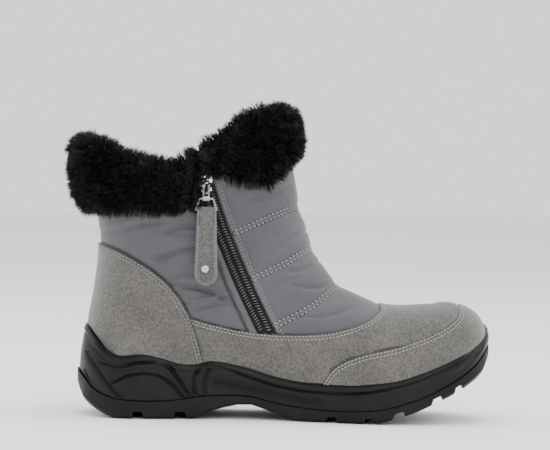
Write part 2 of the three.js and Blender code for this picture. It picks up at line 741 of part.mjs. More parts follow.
function makePull() {
  const { s, turn } = underSide(sliderAt.x, sliderAt.z);
  const outward = shellNormal(s, turn);
  const zipUp = new THREE.Vector3(zipLine[0].x - zipLine[1].x, 0, zipLine[0].z - zipLine[1].z);
  const up = zipUp.projectOnPlane(outward).normalize();
  const seatPoint = onShell(s, turn, zipProud + gap);
  const frame = new THREE.Matrix4().makeBasis(up.clone().cross(outward), up, outward).setPosition(seatPoint);
  const axis = seatPoint.clone().addScaledVector(outward, slider.thick);
  axis.y -= link.barAbove;
  const hang = (down) => {
    const turned = new THREE.Matrix4().makeRotationX(Math.PI / 2);
    return turned.setPosition(axis.x, axis.y, axis.z - down);
  };
  const place = (solid, down) => solidOf(geometryOf(solid).applyMatrix4(hang(down)));
  return {
    slider: makeSliderBody(frame).add(place(makeBridge(), 0)),
    link: place(makeLink(), 0),
    ring: place(makeRing(wire), link.drop),
    tab: place(makeTab(), link.drop + ring.drop),
    rivet: place(makeRivet(), link.drop + ring.drop),
    axis,
  };
}

const shellCut = filledForm(skin + 1.7 * gap, { skirt: 2 * gap });
const slotTop = sideCutter(above(shifted(smoothLine(shaftTop, 16), 0, gap)));
const shellSlot = filledForm(gap).subtract(filledForm(-wall - gap, { skirt: 9, rise: 12 })).subtract(slotTop);
const panels = makePanels();
const pull = makePull();

const rubber = { color: 0x17171a, roughness: 0.55, metalness: 0 };
const suedeGrey = { color: 0x8b8680, roughness: 0.95, metalness: 0 };
const nickel = { color: 0xc9c9cc, roughness: 0.3, metalness: 1 };
const gunmetal = { color: 0x3a3a3d, roughness: 0.4, metalness: 1 };
const pieces = [
  ["outsole", makeOutsole(), rubber],
  ["midsole", makeMidsole(shellCut), { color: 0x232327, roughness: 0.6, metalness: 0 }],
  ["insole", makeInsole(), { color: 0x1a1a1c, roughness: 1, metalness: 0 }],
  ["upper", makeUpper(), { color: 0x77777c, roughness: 0.8, metalness: 0 }],
  ["heel_counter", panels.counter, suedeGrey],
  ["vamp_foxing", panels.foxing, suedeGrey],
  ["toe_cap", panels.cap, suedeGrey],
  ["fur_collar", makeFurCollar(shellSlot), { color: 0x0c0c0d, roughness: 1, metalness: 0 }],
  ["zip_chain", makeZipChain(), { color: 0x6d6d70, roughness: 0.4, metalness: 1 }],
  ["zip_slider", pull.slider, gunmetal],
  ["pull_link", pull.link, nickel],
  ["pull_ring", pull.ring, gunmetal],
  ["pull_tab", pull.tab, suedeGrey],
  ["pull_rivet", pull.rivet, nickel],
];

const boot = new THREE.Group();
for (const [name, solid, finish] of pieces) {
  const geometry = geometryOf(solid).translate(-heelCentre, 0, 0);
  const mesh = new THREE.Mesh(geometry, new THREE.MeshStandardMaterial(finish));
  mesh.name = name;
  boot.add(mesh);
}

export default boot;
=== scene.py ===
import bpy
import bmesh
import math
import numpy as np
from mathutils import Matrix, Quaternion, Vector


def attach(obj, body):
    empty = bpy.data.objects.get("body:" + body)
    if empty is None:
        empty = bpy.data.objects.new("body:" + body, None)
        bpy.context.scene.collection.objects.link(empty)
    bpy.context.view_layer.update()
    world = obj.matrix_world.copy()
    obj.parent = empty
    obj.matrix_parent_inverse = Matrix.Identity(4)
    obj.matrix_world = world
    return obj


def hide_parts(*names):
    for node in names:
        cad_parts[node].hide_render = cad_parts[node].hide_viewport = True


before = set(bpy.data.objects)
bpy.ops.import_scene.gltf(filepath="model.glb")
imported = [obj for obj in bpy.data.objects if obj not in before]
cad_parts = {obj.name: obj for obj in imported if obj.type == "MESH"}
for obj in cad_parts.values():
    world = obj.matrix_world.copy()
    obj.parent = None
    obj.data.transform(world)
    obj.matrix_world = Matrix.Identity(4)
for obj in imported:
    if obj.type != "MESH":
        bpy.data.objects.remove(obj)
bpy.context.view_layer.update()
chance = np.random.default_rng(31)

# A left snow boot. Tables are in millimetres, x from the back of the sole, z from the floor; the finished
# meshes are in metres with the origin under the middle of the heel.
heelCentre = 50.0

camera = {"azimuth": 1.0, "elevation": 1.2, "roll": 0.8, "distance": 1.488, "lens": 140.0,
          "aim": (0.0862, 0.0, 0.1325)}


def makeCamera(c):
    # The azimuth turns the camera from the zip side towards the toe, and the roll lowers the toe.
    side, up = math.radians(c["azimuth"]), math.radians(c["elevation"])
    way = Vector((math.sin(side) * math.cos(up), -math.cos(side) * math.cos(up), math.sin(up)))
    data = bpy.data.cameras.new("camera")
    data.lens, data.sensor_width = c["lens"], 36.0
    eye = bpy.data.objects.new("camera", data)
    eye.location = Vector(c["aim"]) + way * c["distance"]
    turned = (-way).to_track_quat("-Z", "Y") @ Quaternion((0, 0, 1), math.radians(c["roll"]))
    eye.rotation_euler = turned.to_euler()
    bpy.context.scene.collection.objects.link(eye)
    bpy.context.scene.camera = eye


makeCamera(camera)
print("camera")


# Shapes that every piece shares: the sole's and the last's outlines, and the shell's sections.
last = {"heelX": 38.0, "waistX": 108.0, "ballX": 203.0, "toeBluntness": 2.5, "closeAngle": math.radians(108),
        "squareness": 0.9, "seatCorner": 7.0, "wrapSection": 6.5, "heelSection": 14.0, "topSection": 22.0}
solePlan = {"back": 0.0, "tip": 285.0, "heel": 38.0, "waist": 35.5, "ball": 50.0}
lastPlan = {"back": 9.8, "tip": 280.0, "heel": 30.2, "waist": 28.5, "ball": 43.5}
middleLine = [(0, 0), (38, 0), (108, 3), (190, 0.5), (240, -4), (285, -10)]
jointLine = [(0, 32), (6, 27), (15, 18.5), (33, 13), (50, 12), (66, 12.5), (92, 16), (117, 16.5), (141, 11.5),
             (162, 9), (182, 8), (204, 9), (232, 16), (254, 26), (275, 40), (285, 53)]
randLine = [(0, 62.5), (5.5, 61.5), (12.8, 54), (22.8, 44.4), (33, 41.3), (47.7, 42.8), (60, 41), (73, 36.9),
            (82, 36), (95, 38.4), (114, 35.4), (141, 28), (162, 25.2), (188, 25), (218, 28.2), (236, 33.6),
            (254, 41.5), (268, 49.6), (278, 57.5), (282, 64), (285, 67.5)]
# frontX, frontZ, backX, backZ, full, lean: one row for each section, from the toe's tip to the collar
sections = np.array([
    (280, 49, 280, 49, 0, 0), (281, 58, 277.5, 47, 0, 1), (278, 67.5, 270.5, 41, 0, 3),
    (271, 75, 260, 34, 0, 4), (258, 79, 247, 27, 0, 5), (240, 78.2, 230, 20, 0, 5),
    (222, 77, 212, 16.7, 0, 5), (204, 79.5, 190, 16, 0.4, 5), (188, 86, 162, 17, 1.4, 5),
    (174, 96.5, 130, 20.8, 4, 4), (164.5, 110, 96, 24.2, 6.6, 3), (157.5, 126, 60, 26.5, 6.2, 2),
    (154.5, 135, 36, 27.4, 5.2, 1), (153, 140, 19, 27.8, 5, 1), (152, 144, 9.8, 28, 5.6, 0),
    (150.5, 150, 8.2, 44, 5.5, 0), (149, 157, 8.8, 64, 6.4, 0), (147, 167, 13.6, 90, 8.2, 0),
    (144.8, 178, 15.8, 116, 10.2, 0), (142.5, 190, 13.6, 140, 12.2, 0), (140, 202, 10, 162, 13.8, 0),
    (137.5, 214, 7, 184, 15, 0), (135, 226, 4, 206, 16, 0)], float)
sectionNumbers = np.arange(len(sections), dtype=float)


def followCurve(xs, ys, at):
    # Smooth curve through the rows: a cubic between neighbours, whose slopes are harmonic means, so it
    # never swings past a row.
    xs, ys = np.asarray(xs, float), np.asarray(ys, float)
    span = np.diff(xs)
    slope = np.diff(ys) / span
    tangent = np.zeros_like(xs)
    tangent[0], tangent[-1] = slope[0], slope[-1]
    before, after = slope[:-1], slope[1:]
    rising = before * after > 0
    total = np.where(rising, before + after, 1.0)
    tangent[1:-1] = np.where(rising, 2 * before * after / total, 0.0)
    at = np.clip(at, xs[0], xs[-1])
    i = np.clip(np.searchsorted(xs, at, side="right") - 1, 0, len(span) - 1)
    t = (at - xs[i]) / span[i]
    bend = span[i] * (tangent[i] * (1 - t) ** 2 * t - tangent[i + 1] * t * t * (1 - t))
    return ys[i] + (ys[i + 1] - ys[i]) * t * t * (3 - 2 * t) + bend


def followLine(line, at):
    return followCurve([row[0] for row in line], [row[1] for row in line], at)


def smoothStep(low, high, value):
    t = np.clip((value - low) / (high - low), 0, 1)
    return t * t * (3 - 2 * t)


def planHalf(plan, x):
    # Half-width of an outline: heel, waist and ball widths, times a circle's arc at the heel and a blunter
    # arc at the toe.
    places = [last["heelX"], last["waistX"], last["ballX"]]
    half = followCurve(places, [plan["heel"], plan["waist"], plan["ball"]], x)
    heel = np.maximum(0, last["heelX"] - x) / (last["heelX"] - plan["back"])
    toe = np.maximum(0, x - last["ballX"]) / (plan["tip"] - last["ballX"])
    return half * np.sqrt(np.maximum(0, 1 - heel**2)) * np.sqrt(np.maximum(0, 1 - toe ** last["toeBluntness"]))


def insetPlan(plan, by, atBack):
    return {"back": plan["back"] + atBack, "tip": plan["tip"] - by, "heel": plan["heel"] - by,
            "waist": plan["waist"] - by, "ball": plan["ball"] - by}


def shellPoint(s, turn):
    # Section s is a plane from its crest to its seat or back point. Within it the angle a runs from the crest,
    # the reach along the plane is 1 - cos a, and the half-width is the section's width times sin a, drawn in
    # to the seat's outline near the seat.
    s, turn = np.broadcast_arrays(np.asarray(s, float), np.asarray(turn, float))
    frontX, frontZ, backX, backZ, full, lean = (followCurve(sectionNumbers, column, s) for column in sections.T)
    closed = smoothStep(last["wrapSection"], last["heelSection"], s)
    wrap = last["closeAngle"] + (math.pi - last["closeAngle"]) * closed
    lip = math.sin(last["closeAngle"]) ** last["squareness"]
    width = planHalf(lastPlan, np.maximum(backX, last["heelX"])) / lip + full
    angle = np.abs(turn) * wrap
    reach = (1 - np.cos(angle)) / (1 - np.cos(wrap))
    edge = width * np.abs(np.sin(wrap)) ** last["squareness"]
    pull = np.where(s < last["heelSection"], planHalf(lastPlan, backX) - edge, 0)
    half = width * np.abs(np.sin(angle)) ** last["squareness"] + pull * reach ** last["seatCorner"]
    x = frontX + (backX - frontX) * reach
    z = frontZ + (backZ - frontZ) * reach
    y = followLine(middleLine, x) - lean * (1 + np.cos(angle)) / 2 + np.sign(turn) * half
    return np.stack([x, y, z], -1)


def shellNormal(s, turn):
    # Cross product of the steps round and up the shell, level along the seat.
    s, turn = np.broadcast_arrays(np.asarray(s, float), np.asarray(turn, float))
    top = last["topSection"]
    alongS = shellPoint(np.minimum(s + 0.4, top), turn) - shellPoint(np.minimum(s, top - 0.4), turn)
    alongTurn = shellPoint(s, np.minimum(turn + 0.02, 1)) - shellPoint(s, np.maximum(turn - 0.02, -1))
    normal = np.cross(alongTurn, alongS)
    normal /= np.maximum(np.linalg.norm(normal, axis=-1, keepdims=True), 1e-9)
    level = np.abs(turn) ** 5 * np.clip(last["heelSection"] + 1 - s, 0, 1)
    normal[..., 2] *= 1 - level
    normal[..., 1] = np.where((np.abs(turn) > 0.9999) & (s >= last["heelSection"]), 0, normal[..., 1])
    return normal / np.maximum(np.linalg.norm(normal, axis=-1, keepdims=True), 1e-9)


def onShell(s, turn, offset):
    return shellPoint(s, turn) + shellNormal(s, turn) * np.asarray(offset, float)[..., None]


# A coarse chart of the shell's side view, to find the section and turn under a point.
chartS, chartTurn = np.meshgrid(np.linspace(0.4, 21.9, 173), np.linspace(0.015, 0.99, 79), indexing="ij")
chartPoints = shellPoint(chartS, chartTurn)


def underSide(x, z):
    # Nearest point of the chart, then Newton steps on (s, turn) until the side view agrees.
    x, z = np.atleast_1d(np.asarray(x, float)), np.atleast_1d(np.asarray(z, float))
    chartX, chartZ = chartPoints[..., 0].ravel(), chartPoints[..., 2].ravel()
    best = ((chartX - x[:, None]) ** 2 + (chartZ - z[:, None]) ** 2).argmin(1)
    s, turn = chartS.ravel()[best].copy(), chartTurn.ravel()[best].copy()
    for _ in range(12):
        here = shellPoint(s, turn)
        stepS = (shellPoint(s + 0.01, turn) - here) / 0.01
        stepTurn = (shellPoint(s, turn + 0.002) - here) / 0.002
        errX, errZ = x - here[:, 0], z - here[:, 2]
        flat = stepS[:, 0] * stepTurn[:, 2] - stepS[:, 2] * stepTurn[:, 0]
        flat = np.where(np.abs(flat) < 1.0, np.sign(flat + 1e-9), flat)
        moveS = (errX * stepTurn[:, 2] - errZ * stepTurn[:, 0]) / flat
        moveTurn = (stepS[:, 0] * errZ - stepS[:, 2] * errX) / flat
        s = np.clip(s + np.clip(moveS, -0.4, 0.4), 0.05, 21.9)
        turn = np.clip(turn + np.clip(moveTurn, -0.05, 0.05), 0.0, 0.999)
    return s, turn


def runLength(points, axis=0):
    # Distance from the first point along a path, or along every row or column of a grid.
    steps = np.linalg.norm(np.diff(points, axis=axis), axis=-1)
    return np.insert(np.cumsum(steps, axis), 0, 0.0, axis=axis)


def evenPath(points, count):
    # Points evenly spaced by length along a path.
    points = np.asarray(points, float)
    length = runLength(points)
    at = np.linspace(0, length[-1], count)
    return np.stack([np.interp(at, length, column) for column in points.T], 1)


def smoothPath(rows, count):
    # Smooth curve through the rows by their distance apart, then evenly spaced.
    rows = np.asarray(rows, float)
    length = runLength(rows)
    fine = np.linspace(0, length[-1], 12 * len(rows))
    return evenPath(np.stack([followCurve(length, column, fine) for column in rows.T], 1), count)


def surfaceLine(rows, side, crest=None, count=160):
    # A line of the side view laid on the shell, as (s, turn) pairs; crest is the section where it meets the
    # middle of the front. A whole turn counts as 20 sections when the pairs are spaced.
    evenly = np.array([1, 20])
    pairs = np.stack(underSide(*smoothPath(rows, 48).T), 1)
    if crest is not None:
        pairs = np.concatenate([pairs, [[crest, 0.0]]])
    return smoothPath(pairs * evenly, count) / evenly * [1, side]


def distanceTo(points, path):
    # Shortest distance from each point to the path's corners, taken in blocks.
    shape = points.shape[:-1]
    flat, found = points.reshape(-1, 3), []
    for start in range(0, len(flat), 4000):
        block = flat[start:start + 4000]
        square = (block**2).sum(1)[:, None] + (path**2).sum(1)[None] - 2 * block @ path.T
        found.append(np.sqrt(np.maximum(square.min(1), 0)))
    return np.concatenate(found).reshape(shape)


def besideLine(x, z, line):
    # Which side of a side-view line a point is on: plus to the right of its direction, as seen from the zip.
    line = np.asarray(line, float)
    best, sign = np.full(x.shape, 1e9), np.ones(x.shape)
    for a, b in zip(line[:-1], line[1:]):
        way = b - a
        t = np.clip(((x - a[0]) * way[0] + (z - a[1]) * way[1]) / (way @ way), 0, 1)
        gapX, gapZ = x - a[0] - t * way[0], z - a[1] - t * way[1]
        away = gapX**2 + gapZ**2
        side = np.sign(way[1] * gapX - way[0] * gapZ + 1e-12)
        nearer = away < best - 1e-9
        best, sign = np.where(nearer, away, best), np.where(nearer, side, sign)
    return np.sqrt(best), sign


def toMetres(points):
    return (np.asarray(points, float) - [heelCentre, 0, 0]) * 0.001


def makeMesh(name, points, faces, material, body="boot", slot=None, replaces=(), attributes=None, uv=None):
    # points are in table millimetres; faces is one array of quads or triangles, or a list of such arrays.
    groups = [np.asarray(f, np.int32) for f in (faces if isinstance(faces, list) else [faces]) if len(f)]
    mesh = bpy.data.meshes.new(name)
    points = toMetres(points).reshape(-1, 3)
    mesh.vertices.add(len(points))
    mesh.vertices.foreach_set("co", points.astype(np.float32).ravel())
    corners = np.concatenate([g.ravel() for g in groups])
    sizes = np.concatenate([np.full(len(g), g.shape[1]) for g in groups])
    mesh.loops.add(len(corners))
    mesh.loops.foreach_set("vertex_index", corners.astype(np.int32))
    mesh.polygons.add(len(sizes))
    mesh.polygons.foreach_set("loop_start", np.concatenate([[0], np.cumsum(sizes)[:-1]]).astype(np.int32))
    mesh.polygons.foreach_set("loop_total", sizes.astype(np.int32))
    mesh.update(calc_edges=True)
    mesh.validate()
    mesh.polygons.foreach_set("use_smooth", np.ones(len(mesh.polygons), bool))
    for key, values in (attributes or {}).items():
        field = mesh.attributes.new(key, "FLOAT", "POINT")
        field.data.foreach_set("value", np.asarray(values, np.float32).ravel())
    if uv is not None:
        layer = mesh.uv_layers.new(name="cloth")
        layer.data.foreach_set("uv", np.asarray(uv, np.float32).reshape(-1, 2)[corners].ravel())
    mesh.materials.append(material)
    piece = bpy.data.objects.new(name, mesh)
    bpy.context.scene.collection.objects.link(piece)
    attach(piece, body)
    if replaces:
        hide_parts(*replaces)
    return piece


def gridFaces(rows, cols, closeRows=False, closeCols=False, flip=False):
    # Quads of a grid of points, row after row.
    i = np.arange(rows if closeRows else rows - 1)[:, None]
    j = np.arange(cols if closeCols else cols - 1)[None]
    nextI, nextJ = (i + 1) % rows, (j + 1) % cols
    corners = np.broadcast_arrays(i * cols + j, i * cols + nextJ, nextI * cols + nextJ, nextI * cols + j)
    quads = np.stack([corner.ravel() for corner in corners], 1)
    return quads[:, ::-1] if flip else quads


def keepWhere(points, faces, keep, *fields):
    # The faces that touch a kept point, and only the points they use.
    faces = faces[keep.ravel()[faces].any(1)]
    used, again = np.unique(faces, return_inverse=True)
    return points.reshape(-1, 3)[used], again.reshape(faces.shape), [f.ravel()[used] for f in fields]


class Value:
    # A socket that takes part in Python sums; each operation adds a Math node.
    def __init__(self, finish, socket):
        self.finish, self.socket = finish, socket

    def mathNode(self, operation, *inputs):
        return self.finish.node("ShaderNodeMath", {"operation": operation}, dict(enumerate(inputs)))

    def __add__(self, other): return self.mathNode("ADD", self, other)
    def __radd__(self, other): return self.mathNode("ADD", other, self)
    def __sub__(self, other): return self.mathNode("SUBTRACT", self, other)
    def __rsub__(self, other): return self.mathNode("SUBTRACT", other, self)
    def __mul__(self, other): return self.mathNode("MULTIPLY", self, other)
    def __rmul__(self, other): return self.mathNode("MULTIPLY", other, self)
    def __truediv__(self, other): return self.mathNode("DIVIDE", self, other)
    def absolute(self): return self.mathNode("ABSOLUTE", self)
    def sine(self): return self.mathNode("SINE", self)
    def highest(self, other): return self.mathNode("MAXIMUM", self, other)

    def within(self, low, high):
        # 0 below low, 1 above high, and smooth between.
        return self.finish.node("ShaderNodeMapRange", {"interpolation_type": "SMOOTHSTEP"},
                                {"Value": self, "From Min": low, "From Max": high})

    def band(self, centre, half):
        # 1 on the centre value, falling to 0 at half away from it.
        return 1 - ((self - centre).absolute()).within(0, half)


class Finish:
    def __init__(self, name, **constants):
        self.material = bpy.data.materials.new(name)
        self.material.use_nodes = True
        self.tree = self.material.node_tree
        self.tree.nodes.clear()
        self.shader = self.tree.nodes.new("ShaderNodeBsdfPrincipled")
        output = self.tree.nodes.new("ShaderNodeOutputMaterial")
        self.tree.links.new(self.shader.outputs[0], output.inputs[0])
        for key, value in constants.items():
            self.feed(self.shader.inputs[key.replace("_", " ")], value)

    def feed(self, socket, value):
        if isinstance(value, Value):
            self.tree.links.new(value.socket, socket)
        else:
            socket.default_value = value

    def node(self, kind, settings=None, inputs=None, out=0):
        made = self.tree.nodes.new(kind)
        for key, value in (settings or {}).items():
            setattr(made, key, value)
        for key, value in (inputs or {}).items():
            self.feed(made.inputs[key], value)
        return Value(self, made.outputs[out])

    def place(self):
        return self.node("ShaderNodeTexCoord", out="Object")

    def attribute(self, name):
        return self.node("ShaderNodeAttribute", {"attribute_name": name}, out="Fac")

    def noise(self, scale, detail=3.0, roughness=0.5, vector=None):
        return self.node("ShaderNodeTexNoise", None, {"Vector": vector or self.place(), "Scale": scale,
                                                      "Detail": detail, "Roughness": roughness}, out="Fac")

    def mix(self, share, a, b):
        return self.node("ShaderNodeMix", {"data_type": "RGBA"}, {0: share, 6: a, 7: b}, out=2)

    def bump(self, height, distance, strength=1.0):
        return self.node("ShaderNodeBump", None, {"Height": height, "Distance": distance, "Strength": strength})

    def set(self, **links):
        for key, value in links.items():
            self.feed(self.shader.inputs[key.replace("_", " ")], value)
        return self.material


def grey(level, warmth=0.0):
    # A linear grey, warmer or cooler by a share.
    return (level * (1 + warmth), level, level * (1 - warmth), 1.0)


def nylonFinish():
    # Satin nylon over wadding: a fine weave, soft crumples, and a crease along every stitch line, darkened with
    # painted shade.
    # The seam colour is painted shade for the creases.
    colour = {"light": (0.08, 0.08, 0.09, 1), "dark": (0.05, 0.05, 0.057, 1), "seam": (0.014, 0.014, 0.016, 1)}
    f = Finish("shellNylon", Roughness=0.55, Sheen_Weight=0.25, Sheen_Roughness=0.4)
    thread = 0.62
    uv = f.node("ShaderNodeUVMap", {"uv_map": "cloth"})
    across = f.node("ShaderNodeSeparateXYZ", None, {0: uv})
    along = f.node("ShaderNodeSeparateXYZ", None, {0: uv}, out=1)
    weave = (across * 2 * math.pi / thread).sine() * (along * 2 * math.pi / thread).sine()
    crumple = f.noise(55, 4, 0.55) * 0.6 + f.noise(150, 3, 0.5) * 0.4
    quilt = f.attribute("quilt")
    creaseAndShade = quilt.band(1.75, 0.55)
    shade = f.noise(22, 3, 0.6).within(0.3, 0.7)
    base = f.mix(shade * 0.5 + crumple * 0.5, colour["dark"], colour["light"])
    # Painted shade: the creases beside the stitch lines and along the guard's row are darkened towards the seam
    # colour.
    base = f.mix(creaseAndShade * 0.92, base, colour["seam"])
    height = weave * 0.03 + crumple * 1.1 - creaseAndShade * 0.5
    return f.set(Base_Color=base, Roughness=0.46 + f.noise(300, 2) * 0.16, Normal=f.bump(height, 0.001, 0.85))


def suedeFinish(name="suede", rows=(1.9, 4.1), edge=(0.012, 0.011, 0.01, 1)):
    # Warm grey nubuck: mottled nap, fine grain, a groove under each row of stitching with painted shade in it,
    # and an edge colour: a painted shadow along the panels' edges, the pale cut edge on the tab.
    # The seam colour is painted shade for the stitch grooves.
    colour = {"light": (0.134, 0.126, 0.115, 1), "dark": (0.036, 0.034, 0.031, 1),
              "seam": (0.025, 0.023, 0.021, 1)}
    f = Finish(name, Roughness=0.94, Sheen_Weight=0.35, Sheen_Roughness=0.55)
    seam = f.attribute("seam")
    nap = f.noise(38, 4, 0.6).within(0.28, 0.72)
    streak = f.noise(190, 3, 0.6)
    grain = f.noise(1700, 2, 0.6)
    speckle = f.noise(700, 3, 0.7).within(0.41, 0.6)
    base = f.mix(nap * 0.28 + streak * 0.2 + speckle * 0.52, colour["dark"], colour["light"])
    grooves = seam.band(rows[0], 0.6).highest(seam.band(rows[1], 0.6))
    # Painted shade: the grooves under the stitch rows are darkened towards the seam colour.
    base = f.mix(grooves * 0.55, base, colour["seam"])
    # The edge colour along the cut edge: on the panels a painted shadow in the gap at the seam, on the tab its
    # pale cut edge.
    base = f.mix((1 - seam.within(1.0, 1.5)) * 0.9, base, edge)
    height = grain * 0.16 + streak * 0.22 + f.noise(85, 3) * 0.35 - grooves * 0.45
    return f.set(Base_Color=base, Roughness=0.88 + grain * 0.1, Normal=f.bump(height, 0.0007, 0.9))


def rubberFinish(name, level, gloss):
    # Moulded rubber: a fine matt texture, faint flow marks, and painted shade in the grooves and along the
    # rand's lip.
    f = Finish(name, Roughness=gloss, Specular_IOR_Level=0.15)
    paintedShade = f.attribute("paintedShade")
    cloud = f.noise(26, 4, 0.6)
    pebble = f.noise(1300, 2, 0.5)
    base = f.mix(cloud.within(0.35, 0.75) * 0.6, grey(level * 0.8, -0.05), grey(level * 1.5, -0.05))
    # Painted shade: darker where the paintedShade attribute is set; the tread has no such attribute.
    base = f.mix(paintedShade, base, grey(0.0006))
    height = pebble * 0.12 + f.noise(240, 3) * 0.14
    wiped = (f.noise(90, 3) - 0.5) * 0.22
    return f.set(Base_Color=base, Roughness=gloss + wiped, Normal=f.bump(height, 0.0006, 0.6))


def furFinish():
    # Black pile: darker at the roots, and a slightly different black for each tuft.
    f = Finish("fauxFur", Roughness=0.5, Specular_IOR_Level=0.22)
    tip = f.attribute("tip")
    tuft = f.attribute("tuft")
    base = f.mix(tip * tip * 0.6 + tuft * 0.4, grey(0.0016), grey(0.016, -0.04))
    return f.set(Base_Color=base, Roughness=0.42 + tuft * 0.2)


def pileFinish():
    # Short lining pile, curled.
    f = Finish("liningPile", Roughness=0.95, Sheen_Weight=0.3)
    curl = f.noise(420, 4, 0.7)
    base = f.mix(curl.within(0.3, 0.7), grey(0.006), grey(0.028))
    return f.set(Base_Color=base, Normal=f.bump(curl * 1.2 + f.noise(90, 3), 0.0022, 1.0))


def threadFinish(name, level):
    # Twisted thread: fine ply marks along it.
    f = Finish(name, Roughness=0.6, Sheen_Weight=0.2)
    ply = f.noise(2600, 2)
    base = f.mix(ply, grey(level * 0.75, 0.03), grey(level * 1.2, 0.03))
    return f.set(Base_Color=base, Normal=f.bump(ply, 0.0002, 0.6))


def metalFinish(name, level, gloss):
    # Plated zinc: rubbed brighter in places, with fine scratches.
    f = Finish(name, Metallic=1.0, Roughness=gloss)
    rub = f.noise(260, 3, 0.6).within(0.35, 0.7)
    base = f.mix(rub, grey(level * 0.75), grey(level * 1.15))
    scratches = f.bump(f.noise(1500, 2), 0.0002, 0.4)
    return f.set(Base_Color=base, Roughness=gloss + f.noise(900, 3) * 0.18, Normal=scratches)


def platingFinish():
    # Black plating with painted glints: small spots of bright metal colour stand in for highlights.
    f = Finish("blackPlating", Metallic=1.0, Roughness=0.14)
    paintedGlints = f.noise(420, 2, 0.6).within(0.54, 0.6)
    # Painted highlights: the bright grey spots are glints painted into the colour.
    base = f.mix(paintedGlints, grey(0.015), grey(0.75))
    dents = f.bump(f.noise(500, 2), 0.0004, 0.6)
    return f.set(Base_Color=base, Roughness=0.12 + f.noise(900, 3) * 0.15, Normal=dents)


def tapeFinish():
    # Zip tape: a close rib across it.
    f = Finish("zipTape", Roughness=0.8, Specular_IOR_Level=0.3)
    ribPitch = 0.9
    rib = (f.attribute("along") * 2 * math.pi / ribPitch).sine()
    base = f.mix(rib * 0.5 + 0.5, grey(0.003), grey(0.011))
    return f.set(Base_Color=base, Normal=f.bump(rib, 0.0003, 0.7))


nylon = nylonFinish()
# The panels' suede keeps the default edge colour, a painted shadow; the tab's edge colour is its pale cut edge.
suede = suedeFinish()
tabSuede = suedeFinish("tabSuede", (1.7, 9.0), (0.13, 0.122, 0.114, 1))
midRubber = rubberFinish("midsoleRubber", 0.0085, 0.36)
treadRubber = rubberFinish("outsoleRubber", 0.0075, 0.46)
fur = furFinish()
pile = pileFinish()
paleThread = threadFinish("paleThread", 0.31)
greyThread = threadFinish("greyThread", 0.2)
darkThread = threadFinish("darkThread", 0.012)
nickel = metalFinish("brightNickel", 0.62, 0.16)
darkNickel = metalFinish("darkNickel", 0.3, 0.1)
gunmetal = platingFinish()
teethMetal = metalFinish("teethMetal", 0.17, 0.3)
tape = tapeFinish()
print("materials")


# Seams of the upper in the side view.
edges = {
    "counter": [(15.9, 119.6), (31, 114.4), (49.7, 104.5), (65, 92.5), (74.5, 80.5), (80.5, 69.5), (85.5, 55),
                (90, 38), (92, 27)],
    "foxing": [(66, 74.3), (79, 70.3), (95, 65.4), (110, 61.8), (125, 59.8), (147, 59), (168, 59.8),
               (187, 63.4), (201, 68.4), (208.5, 74)],
    "toeCap": [(169, 21), (170, 26), (176, 36.8), (187.5, 44.5), (210, 50.4), (234, 55.8), (249.5, 62),
               (259.5, 69), (263, 75)],
    "foxingCrest": 6.85, "toeCapCrest": 5.0, "toeCapEasing": 24,
}
quilting = {
    "inner": [[(109.5, 127.3), (131.5, 137.3)], [(121.5, 96), (144.6, 107.2)],
              [(137, 64.6), (152, 71.8), (162.5, 78), (171, 84.4)]],
    "outer": [[(17, 84), (54, 101), (80, 113.5), (109.5, 127.3), (131.5, 137.3)],
              [(68, 71), (95, 83.5), (121.5, 96), (144.6, 107.2)],
              [(123, 57.6), (152, 71.8), (162.5, 78), (171, 84.4)]],
    "crests": [14.05, 10.3, 8.5], "apart": 3.5, "ridge": 0.3, "puff": 2.1, "plainPuff": 0.9, "soft": 4.5,
    "edgeSoft": 3.5, "held": 0.1, "creased": 3.0, "creaseWidth": 0.6,
}
zipper = {"line": [(84.6, 172), (88.8, 161), (99, 132), (113.5, 98), (131, 62), (135.4, 53)],
          "half": 6.0, "bed": -0.9, "sliderZ": 160, "puffFrom": 9.5, "guardRow": 10.9}
# The cloth and the lining end under the cuff, at this height over x.
clothTop = [(-20, 181), (20, 177), (62, 163), (85, 170), (115, 190), (160, 202)]
# Soft creases: ends in the side view, height (a trough is negative), half-width, and the side they are on.
creases = [
    ((66, 129), (92, 131), -0.7, 2.6, -1), ((62, 124), (90, 125.5), 0.6, 3.0, -1),
    ((58, 112), (88, 115), -0.8, 2.8, -1), ((56, 106.5), (86, 108), 0.5, 3.0, -1),
    ((66, 96), (97, 99), -0.5, 2.4, -1), ((72, 91), (106, 82), -0.9, 2.6, -1),
    ((76, 82.5), (106, 84), 0.6, 2.6, -1), ((84, 76), (110, 78), -0.5, 2.2, -1),
    ((20, 128), (58, 133), -0.5, 3.0, 0), ((140, 118), (158, 128), -0.35, 2.6, 0),
    ((132, 124), (154, 137), -0.25, 2.6, 0), ((144, 100), (168, 107), -0.3, 2.6, 0),
    ((128, 84), (150, 96), -0.3, 2.6, 0), ((150, 90), (176, 92), -0.3, 2.2, 0),
    ((118, 148), (142, 158), -0.5, 3.0, 0), ((150, 70), (186, 74), -0.35, 2.0, 0),
    ((108, 112), (132, 120), -0.5, 2.6, 1), ((60, 110), (90, 104), -0.6, 3.0, 1),
]


def eased(path, reach=12):
    # A moving average that leaves the ends in place.
    weights = np.exp(-(np.arange(-reach, reach + 1) / (reach * 0.5)) ** 2)
    held = np.concatenate([2 * path[0] - path[reach:0:-1], path, 2 * path[-1] - path[-2:-reach - 2:-1]])
    return np.stack([np.convolve(held[:, k], weights / weights.sum(), "valid") for k in (0, 1)], 1)


def wholeLine(innerRows, crest, outerRows):
    # From the inner side over the front to the outer side.
    inner = surfaceLine(innerRows, -1, crest)
    outer = surfaceLine(outerRows, 1, crest)
    return eased(np.concatenate([inner, outer[::-1][1:]]))


